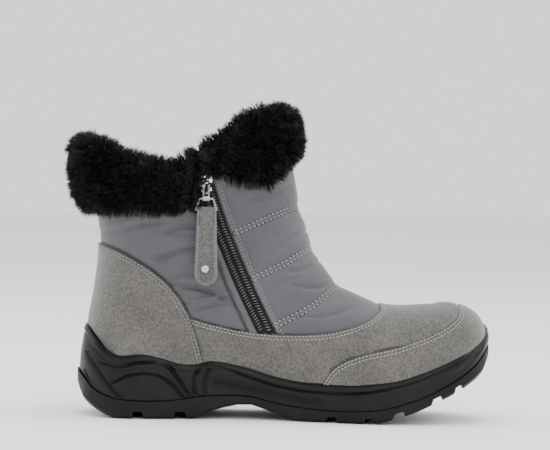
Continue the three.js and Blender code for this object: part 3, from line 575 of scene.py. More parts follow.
counterPaths = [surfaceLine(edges["counter"], side) for side in (-1, 1)]
foxingPath = wholeLine(edges["foxing"], edges["foxingCrest"], edges["foxing"])
toeCapPath = eased(wholeLine(edges["toeCap"], edges["toeCapCrest"], edges["toeCap"]), edges["toeCapEasing"])
quiltPaths = [wholeLine(*rows) for rows in zip(quilting["inner"], quilting["crests"], quilting["outer"])]
zipPath = eased(surfaceLine(zipper["line"], -1, count=220))


def laid(path):
    return shellPoint(path[:, 0], path[:, 1])


counterLine = np.concatenate([laid(path) for path in counterPaths])
foxingLine, toeCapLine, zipLine = laid(foxingPath), laid(toeCapPath), laid(zipPath)
quiltLine = np.concatenate([laid(path) for path in quiltPaths])
sideLines = {
    "counter": [(-20, 120.7), *edges["counter"], (95, 8)],
    "foxing": [(40, 84), *edges["foxing"], (212, 84), (213, 110)],
    "toeCap": [(168, 0), *edges["toeCap"][1:], (266, 86), (267, 110)],
}


def insideBy(name, line, points):
    # Distance inside a panel's edge: measured on the shell, with its sign from the side view.
    return distanceTo(points, line) * besideLine(points[..., 0], points[..., 2], sideLines[name])[1]


def fabricHeight(points, turn):
    # The wadding lifts the cloth away from its stitch lines as 1 - exp(-distance), the zip's bed is sunk, and
    # each crease adds a soft bell across its line that fades at its ends.
    q = quilting
    quiltAway = distanceTo(points, quiltLine)
    heldAway = np.minimum(np.abs(insideBy("foxing", foxingLine, points)), distanceTo(points, counterLine))
    zipAway = np.where(turn < 0, distanceTo(points, zipLine), 99.0)
    beyond = np.maximum(quiltAway - q["apart"] / 2, 0)
    ahead = np.where(turn < 0, -besideLine(points[..., 0], points[..., 2], zipper["line"])[1], 1)
    quilted = np.where(ahead > 0, 1.0, 0.0) * smoothStep(0.0, 0.3, 1 - np.abs(turn))
    puff = q["plainPuff"] + (q["puff"] - q["plainPuff"]) * quilted
    height = puff * (1 - np.exp(-beyond / q["soft"])) * (1 - np.exp(-heldAway / q["edgeSoft"]))
    height *= 1 - np.exp(-np.maximum(zipAway - zipper["puffFrom"], 0) / q["edgeSoft"])
    height += q["ridge"] * np.clip(1 - (quiltAway * 2 / q["apart"]) ** 2, 0, 1)
    for start, finish, tall, wide, side in creases:
        a, b = np.array(start, float), np.array(finish, float)
        way = b - a
        along = ((points[..., 0] - a[0]) * way[0] + (points[..., 2] - a[1]) * way[1]) / (way @ way)
        across = ((points[..., 0] - a[0]) * way[1] - (points[..., 2] - a[1]) * way[0]) / math.hypot(*way)
        fade = smoothStep(-0.35, 0.2, along) * (1 - smoothStep(0.8, 1.35, along))
        bow = 1.6 * np.sin(along * 4.2 + a[0])
        here = 1.0 if side == 0 else np.where(turn * side > 0, 1.0, 0.0)
        bell = np.exp(-((across - bow) / (wide * q["creaseWidth"])) ** 2)
        height += q["creased"] * tall * bell * fade * here * smoothStep(8, 13, zipAway)
    free = smoothStep(zipper["half"] - 0.7, zipper["half"] + 0.5, zipAway)
    return zipper["bed"] + (height + q["held"] - zipper["bed"]) * free, quiltAway


def shellGrid(lowS, highS, rows, cols):
    # Columns go once round the shell from the middle of the back.
    around = np.linspace(-1, 1, cols, endpoint=False)
    s, turn = np.meshgrid(np.linspace(lowS, highS, rows), around, indexing="ij")
    return s, turn, shellPoint(s, turn)


def clothMap(points):
    # Millimetres along each row and column of a grid, for a weave that follows the cloth.
    across = runLength(points, 1)
    return np.stack([across - across[:, [points.shape[1] // 2]], runLength(points)], -1)


# Lowest and highest section, rows and columns of each grid, and how deep the cloth and the lining go.
cloth = {"shell": (6.3, 21.8, 250, 380), "lining": (1.5, 21.8, 120, 160), "underSuede": 2.4, "overlap": 5,
         "wall": 3.6, "pileBumps": 0.35, "creaseAt": 1.75, "guardShare": 0.26}


def makeShell():
    # The shell plus the cloth's height, sunk where the suede covers it.
    c = cloth
    s, turn, points = shellGrid(*c["shell"])
    height, quiltAway = fabricHeight(points, turn)
    covered = np.maximum(insideBy("foxing", foxingLine, points), insideBy("counter", counterLine, points))
    keep = (points[..., 2] < followLine(clothTop, points[..., 0])) & (covered < c["overlap"])
    outer = onShell(s, turn, height - c["underSuede"] * smoothStep(0.2, 1.6, covered))
    # Behind the zip the quilt attribute is the distance from the guard's row, so the nylon's painted crease
    # shade runs along that row.
    guardAway = np.abs(distanceTo(points, zipLine) - zipper["guardRow"]) * c["guardShare"] + c["creaseAt"]
    behind = (turn < 0) & (besideLine(points[..., 0], points[..., 2], zipper["line"])[1] > 0)
    quilt = np.where(behind, guardAway, quiltAway)
    uv = clothMap(points)
    whole = gridFaces(*s.shape, closeCols=True)
    kept, faces, fields = keepWhere(outer, whole, keep, quilt, uv[..., 0], uv[..., 1])
    return makeMesh("quiltedShell", kept, faces, nylon, slot="shell_nylon", replaces=["upper"],
                    attributes={"quilt": fields[0]}, uv=np.stack(fields[1:], 1))


def makeLining():
    # The pile facing: the shell's inside, from the seat up to the cuff.
    s, turn, points = shellGrid(*cloth["lining"])
    inner = onShell(s, turn, cloth["pileBumps"] * np.sin(turn * 61) * np.sin(s * 23) - cloth["wall"])
    whole = gridFaces(*s.shape, closeCols=True, flip=True)
    kept, faces, _ = keepWhere(inner, whole, points[..., 2] < followLine(clothTop, points[..., 0]))
    makeMesh("liningPile", kept, faces, pile, slot="insole_pile")


# Thickness of each panel, its rounded edge, the spare beyond it and that spare's slope, and how far a panel
# goes down behind the sole.
panels = {"foxing": 1.25, "counter": 2.1, "toeCap": 2.2, "rampWidth": 1.1, "spare": 1.3, "swell": 0.25,
          "dive": 4.5, "slope": 1.3}


def panelHeight(inside, thick):
    # A cut edge rounded like a quarter circle; outside the edge the panel dives under the cloth.
    t = np.clip(inside / panels["rampWidth"], 0, 1)
    return np.where(inside > 0, thick * np.sqrt(1 - (1 - t) ** 2), panels["slope"] * np.clip(inside, -1.2, 0))


def makePanel(node, edge, line, grid, ease):
    # ease is how many sections the bends of the shell are averaged over, as in stretched suede.
    s, turn, points = shellGrid(*grid)
    reach = round(ease / (s[1, 0] - s[0, 0]))
    spread = np.exp(-(np.arange(-reach, reach + 1) * 2 / reach) ** 2)
    padded = np.concatenate([points[:1].repeat(reach, 0), points, points[-1:].repeat(reach, 0)])
    softened = sum(w * padded[k:k + len(points)] for k, w in enumerate(spread / spread.sum()))
    row = np.arange(len(points))
    easing = (softened - points) * smoothStep(0, reach, np.minimum(row, row[::-1]))[:, None, None]
    inside = insideBy(edge, line, points)
    swell = panels["swell"] * (1 - np.exp(-np.maximum(inside - 6, 0) / 6))
    under = panels["dive"] * smoothStep(-0.5, 3.0, followLine(randLine, points[..., 0]) - points[..., 2])
    outer = onShell(s, turn, panelHeight(inside, panels[edge]) + swell - under) + easing
    whole = gridFaces(*s.shape, closeCols=True)
    kept, faces, fields = keepWhere(outer, whole, inside > -panels["spare"], inside)
    makeMesh(edge + "Suede", kept, faces, suede, slot="suede", replaces=[node], attributes={"seam": fields[0]})


makeShell()
print("quilted shell")
makeLining()
makePanel("vamp_foxing", "foxing", foxingLine, (2.6, 12.6, 150, 280), 0.6)
makePanel("toe_cap", "toeCap", toeCapLine, (0.02, 8.9, 170, 250), 0.6)
makePanel("heel_counter", "counter", counterLine, (10.2, 18.7, 170, 320), 0.9)
print("suede panels")


# Thread: each stitch is a short rounded bar whose ends dive into the cloth.
stitching = {"pitch": 2.55, "length": 1.95, "radius": 0.36, "sink": 0.3, "above": 0.12,
             "panelRows": (1.9, 4.1), "quiltRows": (-1.45, 1.45), "quiltPitch": 3.2, "quiltSize": 1.1,
             "holeShadowSize": 0.78, "zipRows": (-8.0, -9.9), "guardPitch": 4.2, "guardSize": 1.9}


def besidePath(path, across):
    # The path moved sideways on the shell by a distance, plus to the right of its direction: the shell's own
    # steps for section and turn are solved for that move.
    s, turn = path[:, 0], path[:, 1]
    here = shellPoint(s, turn)
    stepS = (shellPoint(s + 0.02, turn) - here) / 0.02
    stepTurn = (shellPoint(s, turn + 0.004) - here) / 0.004
    sideways = np.cross(np.gradient(here, axis=0), shellNormal(s, turn))
    sideways *= (across / np.maximum(np.linalg.norm(sideways, axis=1), 1e-9))[:, None]
    a, b, c = (stepS**2).sum(1), (stepS * stepTurn).sum(1), (stepTurn**2).sum(1)
    u, v = (stepS * sideways).sum(1), (stepTurn * sideways).sum(1)
    flat = np.maximum(a * c - b * b, 1e-6)
    return eased(np.stack([s + (c * u - b * v) / flat, turn + (a * v - b * u) / flat], 1), 5)


def unit(vectors):
    return vectors / np.maximum(np.linalg.norm(vectors, axis=-1, keepdims=True), 1e-9)


def placesAlong(path, pitch, height, first=0.5):
    # Even places on a path of the shell: the points, their directions, and the shell's normals there.
    points = onShell(path[:, 0], path[:, 1], height)
    normals = shellNormal(path[:, 0], path[:, 1])
    length = runLength(points)
    count = max(int(length[-1] / pitch), 1)
    at = (np.arange(count) + first) * (length[-1] / count)
    take = lambda rows: np.stack([np.interp(at, length, column) for column in rows.T], 1)
    return take(points), unit(take(np.gradient(points, axis=0))), unit(take(normals))


def barPoints(centres, along, outward, length, wide, tall, sink=0.0):
    # Rounded bars: six-sided rings along each, whose size follows a half-ellipse, and the ends sink by the
    # square of the distance from the middle.
    share = np.array([-1, -0.8, 0, 0.8, 1.0])[:, None, None]
    ring = np.array([0.3, 0.82, 1, 0.82, 0.3])[:, None, None]
    angle = (np.arange(6) * math.pi / 3)[None, :, None]
    across = np.cross(outward, along)
    c, a, o, w = (v[:, None, None, :] for v in (centres, along, outward, across))
    rise = ring * np.sin(angle) * tall - sink * share**2
    return c + a * share * length / 2 + w * ring * np.cos(angle) * wide + o * rise


def barFaces(count):
    body = gridFaces(5, 6, closeCols=True)
    caps = np.array([[0, 3, 2, 1], [0, 5, 4, 3], [24, 25, 26, 27], [24, 27, 28, 29]])
    one = np.concatenate([body, caps])
    return (one[None] + 30 * np.arange(count)[:, None, None]).reshape(-1, 4)


def makeStitches(name, rows, material, slot="suede", size=1.0):
    # rows holds one (points, directions, normals) for each line of stitching.
    centres, along, outward = (np.concatenate(part) for part in zip(*rows))
    thick = stitching["radius"] * size
    bars = barPoints(centres, along, outward, stitching["length"] * size, thick, thick, stitching["sink"])
    return makeMesh(name, bars, barFaces(len(centres)), material, "boot", slot)


def seamRows(path, acrosses, height):
    # Rows laid on a panel.
    above = height + stitching["above"]
    return [placesAlong(besidePath(path, across), stitching["pitch"], above) for across in acrosses]


def clothRow(path, across, pitch=stitching["pitch"], first=0.5):
    # A row laid on the cloth's own height.
    row = besidePath(path, across)
    return placesAlong(row, pitch, fabricHeight(laid(row), row[:, 1])[0] + stitching["above"], first)


panelRows = stitching["panelRows"]
makeStitches("foxingStitches", seamRows(foxingPath, panelRows, panels["foxing"]), paleThread)
makeStitches("toeCapStitches", seamRows(toeCapPath, panelRows, panels["toeCap"]), paleThread)
counterRows = [row for path, side in zip(counterPaths, (1, -1))
               for row in seamRows(path, np.array(panelRows) * side, panels["counter"])]
makeStitches("counterStitches", counterRows, greyThread)
# Dark bars between the quilting's stitches are painted shade at the needle holes.
for name, material, size, first in (("quiltStitches", paleThread, stitching["quiltSize"], 0.5),
                                    ("quiltHoleShadows", darkThread, stitching["holeShadowSize"], 0.0)):
    quiltRows = [clothRow(path, across, stitching["quiltPitch"], first) for path in quiltPaths
                 for across in stitching["quiltRows"]]
    makeStitches(name, quiltRows, material, "shell_nylon", size)
zipRows = [clothRow(zipPath[12:-2], across) for across in stitching["zipRows"]]
makeStitches("zipStitches", zipRows, greyThread, "shell_nylon")
print("stitches")

# Zip: tape, guard fold and two bands of slanted teeth.
zipParts = {"tapeHalf": 6.3, "tapeHeight": 0.5, "tapeFlat": 5.3, "teethPitch": 1.95, "toothLength": 3.0,
            "toothAt": 2.4, "toothHeight": 1.0, "toothWide": 0.46, "toothTall": 0.75, "slant": 0.32,
            "lowest": 61.6, "guard": (5.4, 9.9), "guardHeight": 1.5}


def zipStrip(name, low, high, columns, heightOf, material, slot, **more):
    # A strip along the zip's line: rows follow the line and columns go across it.
    across = np.linspace(low, high, columns)
    paths = [besidePath(zipPath, value) for value in across]
    points = np.stack([onShell(p[:, 0], p[:, 1], heightOf(value, p)) for value, p in zip(across, paths)], 1)
    along = np.broadcast_to(runLength(points[:, 0])[:, None], points.shape[:2])
    uv = np.stack([np.broadcast_to(across[None], points.shape[:2]), along], -1)
    return makeMesh(name, points, gridFaces(*points.shape[:2], flip=True), material, "boot", slot, uv=uv,
                    attributes={"along": along, "quilt": np.full(along.shape, 99.0)}, **more)


def makeZip():
    z = zipParts
    low, high = z["guard"]

    def tapeHeight(a, path):
        # Flat in the middle and turned down at both edges.
        return np.full(len(path), z["tapeHeight"] - 1.2 * max(0.0, abs(a) - z["tapeFlat"]))

    def guardHeight(a, path):
        # Half an ellipse across the fold, a little uneven along it.
        t, row = (a - low) / (high - low) * 2 - 1, np.arange(len(path))
        wave = 1 + 0.12 * np.sin(row * 0.21) + 0.06 * np.sin(row * 0.53)
        return z["guardHeight"] * math.sqrt(max(0.0, 1 - t * t)) * wave - 0.25 * (1 - abs(t)) - 0.15

    tapeHalf = z["tapeHalf"]
    zipStrip("zipTape", -tapeHalf, tapeHalf, 15, tapeHeight, tape, "zip_metal", replaces=["zip_chain"])
    zipStrip("zipGuard", low, high, 13, guardHeight, nylon, "shell_nylon")
    rows = []
    for side, first in ((-1, 0.5), (1, 1.0)):
        path = besidePath(zipPath, side * z["toothAt"])
        points, along, outward = placesAlong(path, z["teethPitch"], z["toothHeight"], first)
        lean = unit(np.cross(along, outward) + along * z["slant"] * side)
        keep = (points[:, 2] < zipper["sliderZ"] + 1) & (points[:, 2] > z["lowest"])
        rows.append((points[keep], lean[keep], outward[keep]))
    centres, along, outward = (np.concatenate(part) for part in zip(*rows))
    bars = barPoints(centres, along, outward, z["toothLength"], z["toothWide"], z["toothTall"])
    makeMesh("zipTeeth", bars, barFaces(len(centres)), teethMetal, "boot", "zip_metal")
    guardSeam = [clothRow(zipPath[8:-2], zipper["guardRow"], stitching["guardPitch"])]
    makeStitches("guardStitches", guardSeam, darkThread, "shell_nylon", stitching["guardSize"])


makeZip()
print("zip")


# Nodes of the frame that are shown as they are get their finish.
# The slider's black plating carries painted glints.
dressed = {"zip_slider": gunmetal, "pull_link": darkNickel, "pull_ring": darkNickel, "pull_rivet": nickel,
           "insole": pile}
for node, material in dressed.items():
    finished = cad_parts[node].data
    finished.materials.clear()
    finished.materials.append(material)

# Tread: the frame's own outsole, merged, with every moulded edge rounded.
tread = {"round": 0.0006, "segments": 2, "sharp": math.radians(32), "merge": 1e-6}


def makeTread():
    work = bmesh.new()
    work.from_mesh(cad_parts["outsole"].data)
    bmesh.ops.remove_doubles(work, verts=work.verts, dist=tread["merge"])
    bmesh.ops.dissolve_degenerate(work, dist=tread["merge"], edges=work.edges)
    mesh = bpy.data.meshes.new("outsoleTread")
    work.to_mesh(mesh)
    work.free()
    mesh.materials.clear()
    mesh.materials.append(treadRubber)
    piece = bpy.data.objects.new("outsoleTread", mesh)
    bpy.context.scene.collection.objects.link(piece)
    bevel = piece.modifiers.new("roundedEdges", "BEVEL")
    bevel.width = tread["round"]
    bevel.segments = tread["segments"]
    bevel.limit_method = "ANGLE"
    bevel.angle_limit = tread["sharp"]
    bevel.use_clamp_overlap = True
    mesh.polygons.foreach_set("use_smooth", np.ones(len(mesh.polygons), bool))
    mesh.set_sharp_from_angle(angle=tread["sharp"])
    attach(piece, "boot")
    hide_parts("outsole")


makeTread()
print("tread")

# Pull tab: axis is the ring's lower bar, in table millimetres.
pullTab = {"axis": (90.9, -46.28, 143.01), "topHalf": 6.4, "bottomHalf": 7.7, "length": 51.0, "thick": 1.1,
           "fold": 2.1, "foldEnd": 12.5, "secondLayer": 0.35, "border": 1.7, "crossHalf": 5.2,
           "stitchPitch": 2.1, "stitchLength": 1.45, "stitchRadius": 0.34, "stitchSink": 0.22}


def tabHalf(down):
    # Half-width: straight sides, then a half circle.
    t = pullTab
    straight = t["length"] - t["bottomHalf"]
    side = t["topHalf"] + (t["bottomHalf"] - t["topHalf"]) * np.clip(down / straight, 0, 1)
    return np.where(down > straight, np.sqrt(np.maximum(t["bottomHalf"]**2 - (down - straight)**2, 0)), side)


def tabThickness(down):
    # A round fold over the ring, two layers as far as the cross stitching, one below it.
    t = pullTab
    fold = np.sqrt(np.maximum(t["fold"]**2 - np.minimum(down, 1.0)**2, 0))
    second = t["secondLayer"] * (1 - smoothStep(t["foldEnd"] - 0.8, t["foldEnd"] + 0.5, down))
    layers = t["thick"] + second
    return np.where(down < 1.0, fold, layers + (fold - layers) * (1 - smoothStep(0, 5, down)))


def tabPlace(x, down, out):
    axisX, axisY, axisZ = pullTab["axis"]
    return np.stack([axisX + x, axisY - out, axisZ - down], -1)


def makeTab():
    # Rings round the tab at each distance down, with squared sides, closed by a fan at both ends.
    t = pullTab
    straight = t["length"] - t["bottomHalf"]
    fold = -t["fold"] * np.cos(np.linspace(0.02, 0.5, 7) * math.pi)
    end = straight + t["bottomHalf"] * np.sin(np.linspace(0.04, 0.498, 22) * math.pi)
    down = np.concatenate([fold, np.linspace(0.5, straight, 60), end])
    angle = np.linspace(0, 2 * math.pi, 48, endpoint=False)
    across = np.sign(np.cos(angle)) * np.abs(np.cos(angle)) ** 0.5
    up = np.sign(np.sin(angle)) * np.abs(np.sin(angle)) ** 0.45
    half, tall = tabHalf(down)[:, None], tabThickness(down)[:, None]
    x = half * across[None]
    out = tall * up[None] * np.minimum(1, 0.35 + half / 4)
    rows = np.broadcast_to(down[:, None], x.shape)
    seam = np.minimum(half - np.abs(x), np.maximum(t["length"] - rows, 0))
    points = tabPlace(x, rows, out)
    rim, first = len(angle), np.arange(len(angle))
    second, base = (first + 1) % rim, (len(down) - 1) * rim
    top, low = len(down) * rim, len(down) * rim + 1
    faces = [gridFaces(len(down), rim, closeCols=True, flip=True),
             np.stack([np.full(rim, top), first, second], 1),
             np.stack([np.full(rim, low), base + second, base + first], 1)]
    ends = np.concatenate([points.reshape(-1, 3), points[[0, -1]].mean(1)])
    makeMesh("tabSuede", ends, faces, tabSuede, "tab", "suede", ["pull_tab"],
             {"seam": np.append(seam.ravel(), [0, 0])})
    # Border stitches down both sides and round the end, and the line across under the fold.
    inner = t["border"]
    turns, down = np.linspace(0, math.pi, 30), np.linspace(t["foldEnd"], straight, 40)
    side = np.stack([tabHalf(down) - inner, down], 1)
    arc = np.stack([np.cos(turns), np.sin(turns)], 1) * (t["bottomHalf"] - inner) + [0, straight]
    outline = np.concatenate([side, arc[1:-1], side[::-1] * [-1, 1]])
    line = np.stack([np.linspace(-t["crossHalf"], t["crossHalf"], 12), np.full(12, t["foldEnd"] - 1.2)], 1)
    thick = t["stitchRadius"]
    for face, name in ((1, "front"), (-1, "back")):
        centres, along = [], []
        for path in (outline, line):
            even = evenPath(path, int(runLength(path)[-1] / t["stitchPitch"]) + 1)
            way = unit(np.gradient(even, axis=0))
            centres.append(tabPlace(even[:, 0], even[:, 1], face * (tabThickness(even[:, 1]) + 0.02)))
            along.append(np.stack([way[:, 0], np.zeros(len(way)), -way[:, 1]], 1))
        centres, along = np.concatenate(centres), np.concatenate(along)
        outward = np.broadcast_to(np.array([0, -face, 0.0]), centres.shape)
        bars = barPoints(centres, along, outward, t["stitchLength"], thick, thick, t["stitchSink"])
        makeMesh(name + "TabStitches", bars, barFaces(len(centres)), greyThread, "tab", "suede")


makeTab()
print("pull tab")

# Fur cuff: rows hold x, lower edge on the inner and outer side, upper edge, and how far the pile stands out.
furCuff = {"rows": [(0, 138.5, 138.5, 197.5, 19.6), (18, 137.5, 138, 195.5, 15.6),
                    (32, 136.5, 139, 186.5, 13.6), (45, 136, 140, 183.5, 13), (68, 136.5, 145, 179, 12),
                    (79, 139, 149, 185, 12), (84.5, 163.5, 151, 188, 11), (92, 163.5, 154, 192.5, 11),
                    (103, 160, 157, 200, 12), (117, 157, 158, 210.5, 13), (127, 155, 160, 215.5, 13.5),
                    (135, 160.5, 164, 217.5, 14), (146, 174.5, 175, 217.5, 14.6)],
           "inside": 9.0, "core": 6.5, "around": 300, "across": 50, "strands": 24000, "pieces": 3,
           "length": 8.2, "tufts": 1500, "width": 0.42, "levelZ": 172.0, "partingX": 81.5, "partingZ": 165,
           "partingTilt": math.radians(12), "partingReach": 7.0, "pinch": 3.2}


def sectionAtHeight(turn, height):
    # The section where the shell reaches a height, by halving.
    low, high = np.full(turn.shape, 13.0), np.full(turn.shape, last["topSection"])
    for _ in range(20):
        mid = (low + high) / 2
        under = shellPoint(mid, turn)[..., 2] < height
        low, high = np.where(under, mid, low), np.where(under, high, mid)
    return (low + high) / 2


def cuffPoint(turn, angle, sunk):
    # A fat ring: the angle runs from the lower edge over the outside to the upper edge and back inside.
    c = furCuff
    x = shellPoint(sectionAtHeight(turn, c["levelZ"]), turn)[..., 0]
    inner, outer, upper, out = (followLine([(row[0], row[k]) for row in c["rows"]], x) for k in (1, 2, 3, 4))
    lower = np.where(turn < 0, inner, outer) + sunk
    upper, out, inside = upper - sunk, out - sunk, c["inside"] - sunk
    share = (1 - np.sign(np.cos(angle)) * np.abs(np.cos(angle)) ** 0.8) / 2
    s = sectionAtHeight(turn, lower + (upper - lower) * share)
    return onShell(s, turn, (out - inside) / 2 + (out + inside) / 2 * np.sin(angle))


def fromParting(points):
    # Signed distance from the parting's plane, large off the inner side.
    c = furCuff
    across, up = math.cos(c["partingTilt"]), math.sin(c["partingTilt"])
    away = (points[..., 0] - c["partingX"]) * across - (points[..., 2] - c["partingZ"]) * up
    return np.where(points[..., 1] < -18, away, 99.0)


def makeCuff():
    # The core is the fat ring sunk under the pile. Each strand is a ribbon along a quadratic curve from its
    # root, outwards, to a tip that is drawn towards the nearest tuft's and away from the parting.
    c = furCuff
    turn, angle = np.meshgrid(np.linspace(-1, 1, c["around"], endpoint=False),
                              np.linspace(0, 2 * math.pi, c["across"], endpoint=False), indexing="ij")
    core = cuffPoint(turn, angle, c["core"])
    wayAround, wayAcross = (np.roll(core, -1, axis) - np.roll(core, 1, axis) for axis in (0, 1))
    normal = unit(np.cross(wayAround, wayAcross))
    normal *= np.sign(((core - core.mean(1, keepdims=True)) * normal).sum(-1).mean())
    stepAround, stepAcross = ((np.roll(core, -1, axis) - core).reshape(-1, 3) for axis in (0, 1))
    area = np.linalg.norm(np.cross(stepAround, stepAcross), axis=-1)
    bump = 0.5 * np.sin(turn * 97 + angle * 3) * np.sin(angle * 11 + turn * 40)
    pinch = c["pinch"] * np.exp(-(fromParting(core) / 2.2) ** 2)
    skin = core + normal * (bump - pinch)[..., None]
    makeMesh("cuffCore", skin, gridFaces(c["around"], c["across"], True, True), fur, slot="faux_fur",
             replaces=["fur_collar"], attributes={"tip": np.full(core.shape[:2], 0.05), "tuft": 0.5 + bump / 2})
    coreFlat, normalFlat = core.reshape(-1, 3), normal.reshape(-1, 3)
    hubs = chance.choice(len(area), c["tufts"], p=area / area.sum(), replace=False)
    hubPoint, hubWay = coreFlat[hubs], unit(normalFlat[hubs] + chance.normal(0, 0.3, (c["tufts"], 3)))
    hubLength = c["length"] * chance.uniform(0.82, 1.22, c["tufts"])
    for number in range(c["pieces"]):
        count = c["strands"]
        cells = chance.choice(len(area), count, p=area / area.sum())
        slide = chance.uniform(0, 1, (2, count, 1))
        root = coreFlat[cells] + stepAround[cells] * slide[0] + stepAcross[cells] * slide[1]
        root += chance.normal(0, 0.3, (count, 3)) - normalFlat[cells] * 0.8
        block = 3000
        nearest = np.concatenate([((root[k:k + block, None] - hubPoint) ** 2).sum(-1).argmin(1)
                                  for k in range(0, count, block)])
        length = hubLength[nearest] * chance.uniform(0.72, 1.12, count)
        way = unit(normalFlat[cells] + chance.normal(0, 0.2, (count, 3)) + [0, 0, -0.12])
        apart = fromParting(root)
        near = np.clip(1 - np.abs(apart) / c["partingReach"], 0, 1)
        way[:, 0] += np.sign(apart) * near * 0.9
        tip = root + unit(way) * length[:, None]
        gathered = hubPoint[nearest] + hubWay[nearest] * hubLength[nearest][:, None]
        tip += (gathered - tip) * (0.3 * (1 - near))[:, None]
        middle = root + normalFlat[cells] * (length * 0.55)[:, None] + (tip - root) * 0.12
        t = np.array([0, 0.4, 0.75, 1.0])[None, :, None]
        spine = root[:, None] * (1 - t) ** 2 + middle[:, None] * 2 * t * (1 - t) + tip[:, None] * t * t
        across = unit(np.cross(tip - root, chance.normal(0, 1, (count, 3))))[:, None]
        wide = c["width"] * np.array([1.0, 0.9, 0.62, 0.12])[None, :, None] / 2
        ribbon = np.stack([spine - across * wide, spine + across * wide], 2)
        quads = np.array([[0, 1, 3, 2], [2, 3, 5, 4], [4, 5, 7, 6]])
        faces = (quads[None] + 8 * np.arange(count)[:, None, None]).reshape(-1, 4)
        tipShare = np.broadcast_to(t, (count, 4, 2))
        shade = (np.sin(nearest * 12.9898) * 43758.5453) % 1
        makeMesh(f"cuffFur{number + 1}", ribbon, faces, fur, slot="faux_fur",
                 attributes={"tip": tipShare, "tuft": np.broadcast_to(shade[:, None, None], (count, 4, 2))})


makeCuff()
print("fur cuff")

# Midsole: the cup's wall from its joint with the tread to the rand's lip. Each groove is a line of the side
# view, with its depth (a rib is negative) and half-width.
cup = {"levels": [(0.0, 0.6, 1.4), (0.35, 0.4, 2.5), (0.7, 1.0, 3.9), (1.0, 2.2, 5.2)], "around": 390, "up": 58,
       "depth": 1.5, "lip": 1.3, "lipIn": 3.2, "swell": 0.5, "pinch": 0.3}
grooves = [
    ([(19, 37), (30.4, 34.8), (45.8, 37.9), (57, 38.4), (64, 35)], 0.9, 1.0),
    ([(8, 44), (9.4, 41.2), (15.7, 33), (24.1, 22), (32.5, 13.1)], 1.2, 0.75),
    ([(10.2, 44), (12.6, 40), (18.4, 32), (26.4, 22), (35, 13.1)], 0.9, 0.6),
    ([(7.3, 31.4), (10.8, 23.7), (12.9, 18.9)], 0.9, 0.6),
    ([(27, 23.5), (39.5, 29.4), (49.3, 30.6), (56.3, 29.8), (66.1, 25.2), (76.6, 14)], 1.1, 1.0),
    ([(58, 38), (61.9, 35.6), (69.6, 27.4), (79, 14)], -0.9, 1.2),
    ([(65.5, 36.5), (72.5, 27.5), (80.6, 15)], 0.9, 1.1),
    ([(69.6, 35.5), (75.9, 26.1), (83.2, 15)], -0.9, 1.2),
    ([(87.1, 34.6), (83.6, 29.8), (82.9, 24.2), (84.6, 15)], 1.1, 1.0),
    ([(91.3, 35), (88.5, 29.3), (87.4, 22.9), (88.6, 15)], -0.9, 1.1),
    ([(93.6, 34), (91.4, 29), (90.6, 23), (91.6, 15)], 0.8, 1.0),
    ([(88, 37), (97, 36.2), (113.7, 31.4), (127, 26.8), (140.3, 23.2), (162, 20.3), (182, 19.6), (199.1, 20.9)],
     1.0, 0.8),
    ([(199.1, 20.9), (212.4, 23.3), (231.3, 28.2), (246, 34.4), (260.1, 41.5), (272, 49)], 0.8, 0.6),
    ([(192, 16.5), (212, 19.2), (231.3, 24), (246, 30), (262, 39)], -0.5, 2.0),
    ([(98, 25), (127, 20), (150, 15.6), (170, 13.4)], 0.6, 2.6),
]


def outlineRow(by, atBack, u):
    # Round the plan: u from 0 to 1 goes forwards on the inner side and 1 to 2 back on the outer side, with
    # points closer together at both ends.
    plan = insetPlan(solePlan, by, atBack)
    share = np.where(u <= 1, u, 2 - u)
    x = plan["back"] + (plan["tip"] - plan["back"]) * (1 - np.cos(math.pi * share)) / 2
    return np.stack([x, followLine(middleLine, x) + np.where(u <= 1, -1, 1) * planHalf(plan, x)], -1)


def carved(x, z):
    # Sum of the grooves' bells, each measured across its line in the side view.
    depth = np.zeros_like(x)
    for line, deep, wide in grooves:
        fine = smoothPath(line, 60)
        away = np.stack([(x - px) ** 2 + (z - pz) ** 2 for px, pz in fine]).min(0)
        depth += cup["depth"] * deep * np.exp(-away / wide**2)
    return depth


def clearance(wall, u):
    # How far the rand's lip has to stand out so that the suede stays inside it, smoothed round the outline.
    x, y = wall[:, -1, 0], wall[:, -1, 1]
    side = np.where(u <= 1, -1.0, 1.0)
    s, turn = underSide(x, followLine(randLine, x) + 0.6)
    suedeY = onShell(s, turn * side, np.full(len(x), 2.1))[:, 1] * side
    short = np.where((x > 16) & (x < 266), np.clip(suedeY + 0.35 - y * side, 0, 5), 0)
    spread = np.exp(-(np.arange(-24, 25) / 9.0) ** 2)
    widest = np.max([np.roll(short, k) for k in range(-6, 7)], 0)
    wrapped = np.concatenate([widest[-24:], widest, widest[:24]])
    return np.convolve(wrapped, spread / spread.sum(), "valid")[:, None]


